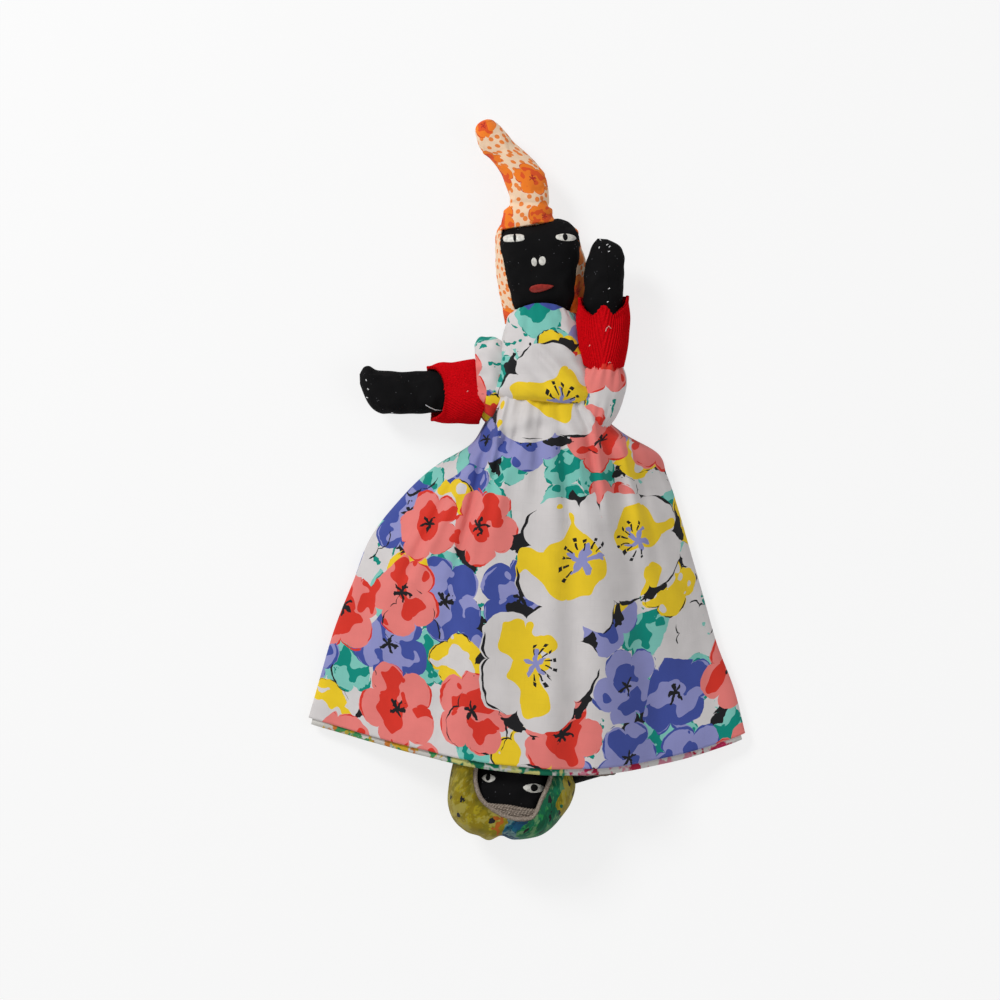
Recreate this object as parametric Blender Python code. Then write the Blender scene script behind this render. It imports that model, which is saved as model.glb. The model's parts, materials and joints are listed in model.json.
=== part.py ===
"""A topsy-turvy rag doll: two half dolls share one body and one reversible skirt.

It lies on its back. +Z points out of its front, +Y towards the head of the upper doll, and
the flat back of the skirt rests on the plane z = 0. All lengths are in metres.
"""
import math

import bmesh
import bpy
import numpy as np
from mathutils import Matrix, Vector

# Cloth and clearances
GAP = 0.0003
NECK_GAP = 0.0006
DENT_GAP = 0.0005
CLOTH = 0.0009
FELL = 0.0006
OVERRUN = 0.004

# Waist and skirt
WAIST_Y = 0.0375
WAIST_X = 0.006
WAIST_Z = 0.017
SKIRT_WAIST_DROP = 0.0005
SKIRT_SIDE_LENGTH = 0.1579
SKIRT_BOW = 0.0181
SKIRT_SWAY = 0.0049
SKIRT_HEM_TILT = 0.0017
SKIRT_HALF_WIDTH = 0.105
SKIRT_CREST = 0.0375
SKIRT_EDGE = 0.0056
SKIRT_HEADING_EDGE = 0.011
FOLD_DEPTH = 0.0016
LINING_SHOW = 0.003

# Upper torso and bodice
NECK_X = 0.0036
NECK_Y = 0.079
NECK_Z = 0.0133
UPPER_TORSO_HALF_WIDTH = 0.0220
UPPER_TORSO_HALF_DEPTH = 0.0125
BODICE_RIM_DROP = 0.0015
BODICE_NECK_RISE = 0.0035
LOWER_BODICE_NECK_DROP = 0.0005
BODICE_HALF_WIDTH = 0.0240
BODICE_HALF_DEPTH = 0.0158
ARMHOLE_HALF_HEIGHT = 0.0076
ARMHOLE_HALF_DEPTH = 0.0042

# Heads
HEAD_LENGTH = 0.0465
HEAD_HALF_WIDTH = 0.0195
HEAD_HALF_DEPTH = 0.0118
HEAD_LEAN = math.radians(6.7)
LOWER_HEAD_LEAN = math.radians(171)
LOWER_NECK_X = 0.0030
LOWER_NECK_Y = -0.1235
LOWER_NECK_Z = 0.0167
PAINT = 0.0006
UPPER_EYE_SPREAD = 0.0118
UPPER_EYE_DROP = 0.0079
UPPER_EYE_RISE = HEAD_LENGTH - UPPER_EYE_DROP
LOWER_EYE_SPREAD = 0.0088
LOWER_EYE_HALF_LENGTH = 0.0042
LOWER_EYE_DROP = 0.0222
LOWER_EYE_RISE = HEAD_LENGTH - LOWER_EYE_DROP
EYE_HALF_LENGTH = 0.0047
EYE_HALF_HEIGHT = 0.0021
PUPIL_RADIUS = 0.0014
NOSE_DROP = 0.0115
NOSTRIL_SPREAD = 0.0020
NOSTRIL_HALF_WIDTH = 0.0012
NOSTRIL_HALF_HEIGHT = 0.0018
MOUTH_DROP = 0.0220
LIP_HALF_LENGTH = 0.0060
LIP_HALF_HEIGHT = 0.0021

# Headscarves
PEAK_HEIGHT = 0.050
PEAK_HALF_DEPTH = 0.0075
PEAK_X = -0.0052
BONNET_HALF_WIDTH = 0.0290
BONNET_THICKNESS = 0.0058
WINDOW_HALF_WIDTH = 0.0186
WINDOW_DROP = 0.0025
WINDOW_RISE = HEAD_LENGTH - WINDOW_DROP
BONNET_HALF_DEPTH = 0.0140
BONNET_START = 0.0060
WINDOW_FLOOR = 0.0010
SCARF_START = 0.0090
SCARF_RIM_RISE = 0.0035
PEAK_HALF_WIDTH = 0.0115
HAIR_HALF_WIDTH = 0.0148
HAIR_START = 0.0100
HAIR_DROP = 0.0060
HAIR_RISE = HEAD_LENGTH - HAIR_DROP
FRINGE_COUNT = 5
HAIR_ROUNDNESS = 0.75
FRINGE_SLACK = 0.0008
YARN_RADIUS = 0.0011
FRINGE_RADIUS = 0.0008
FRINGE_PITCH = 0.0020
FRINGE_DROP = 0.0097
FRINGE_TOP = HEAD_LENGTH - FRINGE_DROP

# Arms
ARM_LENGTH = 0.0560
ARM_HALF_WIDTH = 0.0117
ARM_HALF_DEPTH = 0.0078
RAISED_ARM_LENGTH = 0.0640
LOWER_ARM_LENGTH = 0.0540
TAB_RADIUS = 0.0062
TAB_HALF_DEPTH = 0.0028
CUFF_LENGTH = 0.0235
CUFF_START = 0.0030
RAISED_CUFF_START = 0.0060
CUFF_WALL = 0.0013
CUFF_HALF_WIDTH = 0.0138
CUFF_FLARE = 0.0014
CUFF_PINCH = 0.0036
CUFF_HALF_DEPTH = 0.0108
CAP_TUCK = 0.0020
CAP_HALF_WIDTH = 0.0178
CAP_HALF_DEPTH = 0.0118
LEFT_CAP_DROP = 0.0105
LEFT_CAP_HALF_WIDTH = 0.0132
SHOULDER_Y = 0.048
RIGHT_ARM_ANGLE = math.radians(97)
LEFT_ARM_ANGLE = math.radians(-1.2)
ARM_Z = 0.0125
RAISED_ARM_Z = 0.0195

# Lower torso and its bodice
LOWER_TORSO_HALF_WIDTH = 0.0190
LOWER_TORSO_HALF_DEPTH = 0.0118
LOWER_TORSO_Z = 0.0157
LOWER_BODICE_TOP_Y = -0.020
LOWER_BODICE_HALF_WIDTH = 0.0205
LOWER_BODICE_HALF_DEPTH = 0.0132
LOWER_SHOULDER_Y = -0.088
LOWER_ARM_Z = 0.0122
LOWER_RAISED_ARM_Z = 0.0178
LOWER_CUFF_START = 0.0250
LOWER_CUFF_HALF_WIDTH = 0.0122
LOWER_CUFF_HALF_DEPTH = 0.0096
LOWER_RIGHT_ANGLE = math.radians(188)
LOWER_LEFT_ANGLE = math.radians(13.5)

BLACK_COTTON = (0.012, 0.011, 0.012)
STUFFING_WHITE = (0.85, 0.84, 0.80)
PRINT_WHITE = (0.80, 0.80, 0.86)
LINING_GREEN = (0.45, 0.62, 0.25)
SCARF_ORANGE = (0.90, 0.42, 0.15)
BONNET_GOLD = (0.72, 0.58, 0.12)
RED_KNIT = (0.62, 0.03, 0.04)
GREY_KNIT = (0.42, 0.36, 0.32)
PAINT_WHITE = (0.85, 0.84, 0.80)
PAINT_BLACK = (0.01, 0.01, 0.01)
PAINT_RED = (0.55, 0.08, 0.06)

for old in list(bpy.data.objects):
    bpy.data.objects.remove(old, do_unlink=True)


def material(name, colour, roughness=0.9):
    """One Principled material in the piece's own colour."""
    found = bpy.data.materials.get(name)
    if found:
        return found
    made = bpy.data.materials.new(name)
    made.use_nodes = True
    shader = made.node_tree.nodes["Principled BSDF"]
    shader.inputs["Base Color"].default_value = (*colour, 1)
    shader.inputs["Roughness"].default_value = roughness
    made.diffuse_color = (*colour, 1)
    return made


def add_object(name, mesh_maker, finish, place=Matrix.Identity(4)):
    """A named object from a bmesh, with its faces turned outwards."""
    bmesh.ops.triangulate(mesh_maker, faces=mesh_maker.faces, quad_method="FIXED")
    bmesh.ops.recalc_face_normals(mesh_maker, faces=mesh_maker.faces)
    mesh = bpy.data.meshes.new(name)
    mesh_maker.to_mesh(mesh)
    mesh_maker.free()
    mesh.shade_smooth()
    made = bpy.data.objects.new(name, mesh)
    made.matrix_world = place
    if finish:
        mesh.materials.append(finish)
    bpy.context.scene.collection.objects.link(made)
    return made


def wall_between(maker, low, high, inward=False):
    """One band of quads between two rings, with the same diagonals on both sides of a cloth."""
    count = len(low)
    for i in range(count):
        j = (i + 1) % count
        quad = (low[i], low[j], high[j], high[i])
        maker.faces.new((quad[0], quad[3], quad[2], quad[1]) if inward else quad)


def loft(rings):
    """Join rings of points by quads and cap both ends."""
    maker = bmesh.new()
    loops = [[maker.verts.new(p) for p in ring] for ring in rings]
    for low, high in zip(loops, loops[1:]):
        wall_between(maker, low, high)
    maker.faces.new(loops[0][::-1])
    maker.faces.new(loops[-1])
    return maker


def tube(outer, inner):
    """A cloth tube with a wall, open at both ends."""
    maker = bmesh.new()
    outside = [[maker.verts.new(p) for p in ring] for ring in outer]
    inside = [[maker.verts.new(p) for p in ring] for ring in inner]
    for low, high in zip(outside, outside[1:]):
        wall_between(maker, low, high)
    for low, high in zip(inside, inside[1:]):
        wall_between(maker, low, high, inward=True)
    wall_between(maker, inside[0], outside[0])
    wall_between(maker, outside[-1], inside[-1])
    return maker


def signed_power(value, power):
    return math.copysign(abs(value) ** power, value)


def oval(y, half_width, half_depth, power=2.4, sides=16, x=0.0, z=0.0, tilt=0.0):
    """One ring across the Y axis, a rounded rectangle between an ellipse and a box."""
    ring = []
    for i in range(sides):
        turn = 2 * math.pi * i / sides
        across = half_width * signed_power(math.cos(turn), 2 / power)
        up = half_depth * signed_power(math.sin(turn), 2 / power)
        ring.append(Vector((x + across, y + across * tilt, z + up)))
    return ring


def placed(x, y, z, turn=0.0):
    return Matrix.Translation((x, y, z)) @ Matrix.Rotation(turn, 4, "Z")


def profile_at(profile_shares, share):
    """Width, depth and sideways shares of a form at one share of its length."""
    along = [row[0] for row in profile_shares]
    return [float(np.interp(share, along, [row[k] for row in profile_shares])) for k in (1, 2, 3)]


def form_rings(profile_shares, size, inset=0.0, sides=16, power=2.4, sink=0.0, drift=(0.0, 0.0)):
    """Rings of a stuffed form, each set in from the cloth's outside by the inset."""
    length, half_width, half_depth = size
    rings = []
    for along, wide, deep, shift in profile_shares:
        y = min(along * length, length - inset)
        x = shift * half_width + drift[0] * along
        z = drift[1] * along - sink
        rings.append(oval(y, wide * half_width - inset, deep * half_depth - inset, power, sides, x, z))
    return rings


def stuffed_form(name, profile_shares, size, cloth, place, power=2.4, sides=16, sink=0.0,
                 drift=(0.0, 0.0), start=GAP):
    """A sewn cloth skin, open where it is stitched on, and the stuffing inside it."""
    outer = form_rings(profile_shares, size, 0.0, sides, power, sink, drift)
    inner = form_rings(profile_shares, size, FELL, sides, power, sink, drift)
    filling = form_rings(profile_shares, size, FELL + GAP, sides // 2, power, sink, drift)
    for rings in (outer, inner):
        for point in rings[0]:
            point.y = start
    for point in filling[0]:
        point.y = start + GAP
    skin = add_object(name, loft(outer[::-1] + inner), cloth, place)
    add_object(name + "_stuffing", loft(filling), material("stuffing", STUFFING_WHITE), place)
    return skin


def cut_with(target, cutter):
    """Take the cutter away from the target with a Boolean modifier."""
    cutter.hide_render = True
    cutter.display_type = "WIRE"
    modifier = target.modifiers.new("cut", "BOOLEAN")
    modifier.operation = "DIFFERENCE"
    modifier.object = cutter


def block(name, low, high, place=Matrix.Identity(4)):
    """A plain box between two corners, used as a cutter."""
    maker = bmesh.new()
    bmesh.ops.create_cube(maker, size=1)
    for vertex in maker.verts:
        vertex.co = Vector([low[k] if vertex.co[k] < 0 else high[k] for k in range(3)])
    return add_object(name, maker, None, place)


def worm(name, points, radius, finish, place=Matrix.Identity(4)):
    """A short length of yarn: a curve with a round bevel and closed ends."""
    curve = bpy.data.curves.new(name, "CURVE")
    curve.dimensions = "3D"
    curve.bevel_depth = radius
    curve.bevel_resolution = 1
    curve.use_fill_caps = True
    spline = curve.splines.new("POLY")
    spline.points.add(len(points) - 1)
    for target, point in zip(spline.points, points):
        target.co = (*point, 1)
    curve.materials.append(finish)
    made = bpy.data.objects.new(name, curve)
    made.matrix_world = place
    bpy.context.scene.collection.objects.link(made)
    return made


# Skirt: shares down the side, then of the half width at the left and at the right,
# of the crest, of the edge blend, and the spread of the dome
SKIRT_SHARES = (
    (0.00, 0.215, 0.215, 0.80, 1.00, 2.00),
    (0.04, 0.230, 0.255, 0.83, 0.95, 1.70),
    (0.08, 0.270, 0.370, 0.86, 0.75, 1.20),
    (0.13, 0.330, 0.534, 0.89, 0.50, 0.95),
    (0.20, 0.484, 0.590, 0.91, 0.15, 0.84),
    (0.33, 0.672, 0.665, 0.97, 0.04, 0.90),
    (0.43, 0.776, 0.716, 0.99, 0.00, 0.90),
    (0.57, 0.850, 0.788, 1.00, 0.00, 0.84),
    (0.72, 0.927, 0.864, 1.00, 0.00, 0.74),
    (0.87, 0.982, 0.961, 1.00, 0.00, 0.62),
    (1.00, 1.028, 1.020, 1.00, 0.00, 0.62),
)
# Folds of the skirt's front: place across, width across, and height against the fold depth
FOLD_SHARES = (
    (-0.76, 0.080, 0.8),
    (-0.44, 0.060, -1.0),
    (-0.30, 0.075, 1.0),
    (-0.04, 0.080, -0.8),
    (0.10, 0.060, 0.6),
    (0.22, 0.060, -0.7),
    (0.38, 0.100, 1.0),
    (0.60, 0.070, -0.9),
    (0.76, 0.080, 0.7),
)
TOP_POINTS = 22
BACK_POINTS = 8
ARC_POINTS = 3


def skirt_height(across, crest, edge, spread, depth, roundness):
    dome = math.exp(-((abs(across) / spread) ** 2.6))
    folds = sum(h * math.exp(-(((across - c) / w) ** 2)) for c, w, h in FOLD_SHARES)
    near_edge = 1 - abs(across) ** roundness
    return edge + (crest - edge) * dome * near_edge + depth * folds * near_edge


def skirt_ring(row, inset, drop=0.0):
    """One round of the skirt: flat back, rounded side folds and a domed, folded front."""
    along, left, right, high, blend, spread = row
    edge = SKIRT_EDGE + (SKIRT_HEADING_EDGE - SKIRT_EDGE) * blend
    crest = SKIRT_CREST * high
    roundness = 6 + 6 * blend
    depth = FOLD_DEPTH * (0.35 + 0.65 * min(1, along / 0.3))
    width = {-1: left * SKIRT_HALF_WIDTH, 1: right * SKIRT_HALF_WIDTH}
    flat = []
    for i in range(BACK_POINTS):
        side = -1 + 2 * i / (BACK_POINTS - 1)
        reach = width[-1 if side < 0 else 1] - edge / 2
        flat.append((side * reach, 0.0))
    for i in range(ARC_POINTS):
        turn = math.radians(-90 + 180 * (i + 1) / (ARC_POINTS + 1))
        flat.append((width[1] - edge / 2 + edge / 2 * math.cos(turn), edge / 2 * (1 + math.sin(turn))))
    for i in range(TOP_POINTS):
        side = math.cos(math.pi * i / (TOP_POINTS - 1))
        side = 0.45 * side + 0.55 * (1 - 2 * i / (TOP_POINTS - 1))
        reach = width[-1 if side < 0 else 1] - edge / 2
        flat.append((side * reach, skirt_height(side, crest, edge, spread, depth, roundness)))
    for i in range(ARC_POINTS):
        turn = math.radians(90 + 180 * (i + 1) / (ARC_POINTS + 1))
        flat.append((-width[-1] + edge / 2 + edge / 2 * math.cos(turn), edge / 2 * (1 + math.sin(turn))))
    count = len(flat)
    ring = []
    for i, (x, z) in enumerate(flat):
        before = flat[i - 1]
        after = flat[(i + 1) % count]
        tangent = Vector((after[0] - before[0], after[1] - before[1])).normalized()
        x_in = x - inset * tangent.y
        z_in = z + inset * tangent.x
        across = x / width[-1 if x < 0 else 1]
        y = WAIST_Y - SKIRT_WAIST_DROP - along * (SKIRT_SIDE_LENGTH - SKIRT_HEM_TILT * across)
        y -= along * (SKIRT_BOW + SKIRT_SWAY * across) * (1 - across * across) + drop
        ring.append(Vector((WAIST_X + x_in, y, z_in)))
    return ring


def cloth_bell(name, first_inset, finish, drop=0.0):
    outer = [skirt_ring(row, first_inset) for row in SKIRT_SHARES]
    inner = [skirt_ring(row, first_inset + CLOTH) for row in SKIRT_SHARES]
    if drop:
        outer.append(skirt_ring(SKIRT_SHARES[-1], first_inset, drop))
        inner.append(skirt_ring(SKIRT_SHARES[-1], first_inset + CLOTH, drop))
    return add_object(name, tube(outer, inner), finish)


def make_skirt():
    cloth_bell("skirt", 0.0, material("dress_print", PRINT_WHITE))
    cloth_bell("skirt_lining", CLOTH + GAP, material("lining_print", LINING_GREEN), LINING_SHOW)


# Profiles: share of the length, of the half width, of the half depth, and sideways shift
HEAD_PROFILE = (
    (0.00, 0.24, 0.16, 0.0),
    (0.07, 0.71, 0.34, 0.0),
    (0.16, 0.79, 0.64, 0.0),
    (0.30, 0.84, 0.88, 0.0),
    (0.52, 0.92, 1.00, 0.0),
    (0.76, 0.99, 0.96, 0.0),
    (0.90, 1.00, 0.76, 0.0),
    (0.97, 0.94, 0.46, 0.0),
    (1.00, 0.84, 0.18, 0.0),
)
UPPER_TORSO_PROFILE = (
    (0.00, 0.62, 0.16, 0.0),
    (0.10, 0.92, 0.60, 0.0),
    (0.26, 1.00, 0.92, 0.0),
    (0.36, 0.93, 0.97, 0.0),
    (0.55, 0.80, 1.00, 0.0),
    (0.80, 0.69, 0.76, 0.0),
    (0.91, 0.56, 0.42, 0.0),
    (1.00, 0.22, 0.16, 0.0),
)
LOWER_TORSO_PROFILE = (
    (0.00, 0.62, 0.17, 0.0),
    (0.025, 0.76, 0.72, 0.0),
    (0.07, 0.84, 0.82, 0.0),
    (0.16, 0.96, 0.92, 0.0),
    (0.45, 1.00, 1.00, 0.0),
    (0.80, 0.96, 0.98, 0.0),
    (0.93, 0.72, 0.66, 0.0),
    (0.975, 0.52, 0.36, 0.0),
    (1.00, 0.24, 0.17, 0.0),
)
ARM_PROFILE = (
    (0.00, 0.52, 0.30, 0.0),
    (0.06, 0.62, 0.52, -0.12),
    (0.22, 0.76, 0.80, -0.34),
    (0.48, 0.86, 0.94, -0.28),
    (0.74, 0.97, 1.00, -0.12),
    (0.92, 1.00, 0.86, 0.0),
    (0.98, 0.90, 0.56, 0.0),
    (1.00, 0.72, 0.26, 0.0),
)
RAISED_SHIFT_SHARES = (0.0, 0.12, 0.20, 0.06, -0.12, -0.24, -0.26, -0.26)
RAISED_ARM_PROFILE = tuple(row[:3] + (shift,) for row, shift in zip(ARM_PROFILE, RAISED_SHIFT_SHARES))
STRAIGHT_ARM_PROFILE = tuple(row[:3] + (0.0,) for row in ARM_PROFILE)
HEAD_POWER = 3.0


def head_front(x, y):
    """Height of the face over the head's middle plane, in the head's own frame."""
    wide, deep, shift = profile_at(HEAD_PROFILE, y / HEAD_LENGTH)
    share = min(0.999, abs(x) / (wide * HEAD_HALF_WIDTH))
    return deep * HEAD_HALF_DEPTH * (1 - share**HEAD_POWER) ** (1 / HEAD_POWER)


def painted_dab(name, x, y, half_length, half_height, finish, place, lift=0.0, tilt=0.0, point=1.0):
    """A raised dab of paint that follows the face, with a thin edge and a fuller middle."""
    rings = []
    for size_share, rise_share in ((0.15, 0.0), (1.0, 0.0), (1.0, 0.45), (0.62, 1.0), (0.15, 1.0)):
        ring = []
        for i in range(12):
            turn = 2 * math.pi * i / 12
            across = half_length * size_share * signed_power(math.cos(turn), point)
            up = half_height * size_share * math.sin(turn)
            px = x + across * math.cos(tilt) - up * math.sin(tilt)
            py = y + across * math.sin(tilt) + up * math.cos(tilt)
            ring.append(Vector((px, py, head_front(px, py) + GAP + lift + PAINT * rise_share)))
        rings.append(ring)
    return add_object(name, loft(rings), finish, place)


def make_face(prefix, place, eye_spread, eye_rise, eye_half_length):
    white = material("white_paint", PAINT_WHITE, 0.5)
    black = material("black_paint", PAINT_BLACK, 0.4)
    red = material("red_paint", PAINT_RED, 0.35)
    for side, sign in (("right", -1), ("left", 1)):
        x = sign * eye_spread
        painted_dab(f"{prefix}_{side}_eye", x, eye_rise, eye_half_length, EYE_HALF_HEIGHT, white, place)
        painted_dab(f"{prefix}_{side}_pupil", x, eye_rise, PUPIL_RADIUS, EYE_HALF_HEIGHT * 0.9, black,
                    place, lift=PAINT + GAP)
        painted_dab(f"{prefix}_{side}_nostril", sign * NOSTRIL_SPREAD, eye_rise - NOSE_DROP,
                    NOSTRIL_HALF_WIDTH * 0.8, NOSTRIL_HALF_HEIGHT, white, place)
    painted_dab(f"{prefix}_lips", 0.0, eye_rise - MOUTH_DROP, LIP_HALF_LENGTH, LIP_HALF_HEIGHT, red,
                place, tilt=math.radians(4))


def grown_rings(grow, start, end):
    """Rings of a head grown outwards, for the outside of a scarf or the hollow inside it."""
    shares = [row[0] for row in HEAD_PROFILE]
    above = [share for share in shares if share * HEAD_LENGTH > max(0.0, start) + GAP]
    places = [start] + [share * HEAD_LENGTH for share in above[:-1]] + [end]
    rings = []
    for y, share in zip(places, [start / HEAD_LENGTH] + above):
        wide, deep, shift = profile_at(HEAD_PROFILE, share)
        rings.append(oval(y, wide * HEAD_HALF_WIDTH + grow, deep * HEAD_HALF_DEPTH + grow, HEAD_POWER, 20))
    return rings


def hollow_out(scarf, name, place):
    """Cut the head's own form, grown by the gap, out of a scarf."""
    rings = grown_rings(GAP, -OVERRUN, HEAD_LENGTH + GAP)
    cut_with(scarf, add_object(name, loft(rings), None, place))


def make_upper_head():
    place = placed(NECK_X, NECK_Y, NECK_Z, HEAD_LEAN)
    size = (HEAD_LENGTH, HEAD_HALF_WIDTH, HEAD_HALF_DEPTH)
    stuffed_form("upper_head", HEAD_PROFILE, size, material("black_cotton", BLACK_COTTON), place,
                 HEAD_POWER, 20, start=NECK_GAP)
    make_face("upper", place, UPPER_EYE_SPREAD, UPPER_EYE_RISE, EYE_HALF_LENGTH)
    scarf_print = material("orange_scarf_print", SCARF_ORANGE)
    grow = GAP + CLOTH
    rings = grown_rings(grow, SCARF_START, HEAD_LENGTH + grow)
    scarf = add_object("upper_headscarf", loft(rings), scarf_print, place)
    hollow_out(scarf, "upper_scarf_hollow", place)
    reach = HEAD_HALF_WIDTH + OVERRUN
    top = HEAD_HALF_DEPTH + OVERRUN
    cut_with(scarf, block("upper_scarf_front", (-reach, -OVERRUN, SCARF_RIM_RISE),
                          (reach, HEAD_LENGTH + OVERRUN, top), place))
    peak_place = place @ Matrix.Translation((PEAK_X, HEAD_LENGTH + grow + GAP, 0))
    rings = []
    for i, (across, along, wide, deep) in enumerate(PEAK_SHARES):
        before = PEAK_SHARES[max(0, i - 1)]
        after = PEAK_SHARES[min(len(PEAK_SHARES) - 1, i + 1)]
        heading = Vector(((after[0] - before[0]), (after[1] - before[1]), 0)).normalized()
        if i == 0:
            heading = Vector((0, 1, 0))
        centre = Vector((across * PEAK_HEIGHT, along * PEAK_HEIGHT, 0))
        sideways = Vector((heading.y, -heading.x, 0))
        ring = []
        for point in oval(0, wide * PEAK_HALF_WIDTH, deep * PEAK_HALF_DEPTH, 2.1, 16):
            ring.append(centre + sideways * point.x + Vector((0, 0, point.z)))
        rings.append(ring)
    add_object("scarf_peak", loft(rings), scarf_print, peak_place)


def window_cutter(place):
    """The opening of the bonnet in front of the face, with a rounded top."""
    rings = []
    for z in (WINDOW_FLOOR, BONNET_HALF_DEPTH + OVERRUN):
        ring = []
        for i in range(24):
            turn = 2 * math.pi * i / 24
            x = WINDOW_HALF_WIDTH * signed_power(math.cos(turn), 0.8)
            y = WINDOW_RISE * signed_power(math.sin(turn), 0.8)
            ring.append(Vector((x, y, z)))
        rings.append(ring)
    return add_object("bonnet_window", loft(rings), None, place)


def face_point(x, y, radius):
    """A point that stands off the face by a gap and the radius of what lies there."""
    step = FELL
    slope_x = (head_front(x + step, y) - head_front(x - step, y)) / (2 * step)
    slope_y = (head_front(x, y + step) - head_front(x, y - step)) / (2 * step)
    normal = Vector((-slope_x, -slope_y, 1)).normalized()
    return Vector((x, y, head_front(x, y))) + normal * (radius + GAP)


def hair_reach(y):
    """How far the yarn edge stands from the face's middle at one height."""
    sine = ((y - HAIR_START) / (HAIR_RISE - HAIR_START)) ** (1 / HAIR_ROUNDNESS)
    return HAIR_HALF_WIDTH * (1 - sine * sine) ** (HAIR_ROUNDNESS / 2)


def make_lower_head():
    place = placed(LOWER_NECK_X, LOWER_NECK_Y, LOWER_NECK_Z, LOWER_HEAD_LEAN)
    size = (HEAD_LENGTH, HEAD_HALF_WIDTH, HEAD_HALF_DEPTH)
    stuffed_form("lower_head", HEAD_PROFILE, size, material("black_cotton", BLACK_COTTON), place,
                 HEAD_POWER, 20, start=NECK_GAP)
    make_face("lower", place, LOWER_EYE_SPREAD, LOWER_EYE_RISE, LOWER_EYE_HALF_LENGTH)
    rings = []
    span = HEAD_LENGTH + BONNET_THICKNESS - BONNET_START
    for along, wide, deep in BONNET_SHARES:
        rings.append(oval(BONNET_START + along * span, wide * BONNET_HALF_WIDTH,
                          deep * BONNET_HALF_DEPTH, 2.3, 28))
    bonnet = add_object("lower_headscarf", loft(rings), material("bonnet_print", BONNET_GOLD), place)
    hollow_out(bonnet, "bonnet_hollow", place)
    cut_with(bonnet, window_cutter(place))
    yarn = material("hair_yarn", GREY_KNIT)
    edge = []
    for i in range(25):
        turn = math.radians(-8 + 196 * i / 24)
        x = HAIR_HALF_WIDTH * signed_power(math.cos(turn), HAIR_ROUNDNESS)
        y = HAIR_START + (HAIR_RISE - HAIR_START) * max(0.0, math.sin(turn)) ** HAIR_ROUNDNESS
        if math.sin(turn) < 0:
            y += HAIR_START * math.sin(turn)
        edge.append(face_point(x, y, YARN_RADIUS))
    worm("lower_hair_edge", edge, YARN_RADIUS, yarn, place)
    for i in range(FRINGE_COUNT):
        y = FRINGE_TOP - FRINGE_PITCH * i
        reach = hair_reach(y) - YARN_RADIUS - FRINGE_RADIUS - GAP - FRINGE_SLACK
        strand = [face_point(reach * (k / 4 - 1), y, FRINGE_RADIUS) for k in range(9)]
        worm(f"lower_fringe_{i + 1}", strand, FRINGE_RADIUS, yarn, place)
    return bonnet


def wall_rings(profile_shares, size, start, centre, drift, inset=0.0, sides=20):
    """Rings of a bodice, from its waist to its neck, following a slanting centre line."""
    length, half_width, half_depth = size
    rings = []
    for along, wide, deep in profile_shares:
        x = centre[0] + drift[0] * along
        z = centre[1] + drift[1] * along
        rings.append(oval(start + along * length, wide * half_width - inset,
                          deep * half_depth - inset, 2.4, sides, x, z))
    return rings


BODICE_PROFILE = (
    (0.00, 0.92, 0.98),
    (0.06, 0.99, 1.05),
    (0.14, 1.00, 1.05),
    (0.30, 0.96, 1.00),
    (0.38, 0.90, 0.99),
    (0.52, 0.81, 0.98),
    (0.75, 0.75, 0.82),
    (0.90, 0.70, 0.68),
    (1.00, 0.70, 0.64),
)
LOWER_BODICE_PROFILE = (
    (0.00, 1.04, 1.04),
    (0.20, 1.00, 1.00),
    (0.70, 1.00, 1.00),
    (0.86, 0.90, 0.86),
    (0.95, 0.84, 0.74),
    (1.00, 0.82, 0.66),
)
BONNET_SHARES = (
    (0.00, 0.86, 0.80),
    (0.14, 0.95, 0.94),
    (0.40, 1.00, 1.00),
    (0.62, 0.97, 1.00),
    (0.80, 0.84, 0.88),
    (0.93, 0.62, 0.62),
    (1.00, 0.40, 0.30),
)
# The bent peak: sideways and along as shares of its height, then its width and depth
PEAK_SHARES = (
    (0.000, 0.012, 0.20, 0.30),
    (0.004, 0.070, 0.96, 0.86),
    (0.030, 0.190, 0.90, 1.00),
    (0.055, 0.360, 0.82, 0.96),
    (0.010, 0.540, 0.80, 0.90),
    (-0.085, 0.680, 0.78, 0.88),
    (-0.210, 0.810, 0.74, 0.84),
    (-0.310, 0.895, 0.70, 0.76),
    (-0.362, 0.935, 0.50, 0.52),
    (-0.380, 0.950, 0.24, 0.22),
)


def body_mid_x(y):
    """Sideways place of the doll's own middle line, which slants between its two necks."""
    if y > WAIST_Y:
        return WAIST_X + (NECK_X - WAIST_X) * (y - WAIST_Y) / (NECK_Y - WAIST_Y)
    return WAIST_X + (LOWER_NECK_X - WAIST_X) * (y - WAIST_Y) / (LOWER_NECK_Y - WAIST_Y)


def armhole(bodice, name, place):
    """A slot through the bodice's side for the tab that carries the arm."""
    reach = TAB_RADIUS + OVERRUN
    cut_with(bodice, block(name, (-ARMHOLE_HALF_HEIGHT, -reach, -ARMHOLE_HALF_DEPTH),
                           (ARMHOLE_HALF_HEIGHT, reach, ARMHOLE_HALF_DEPTH), place))


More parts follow.
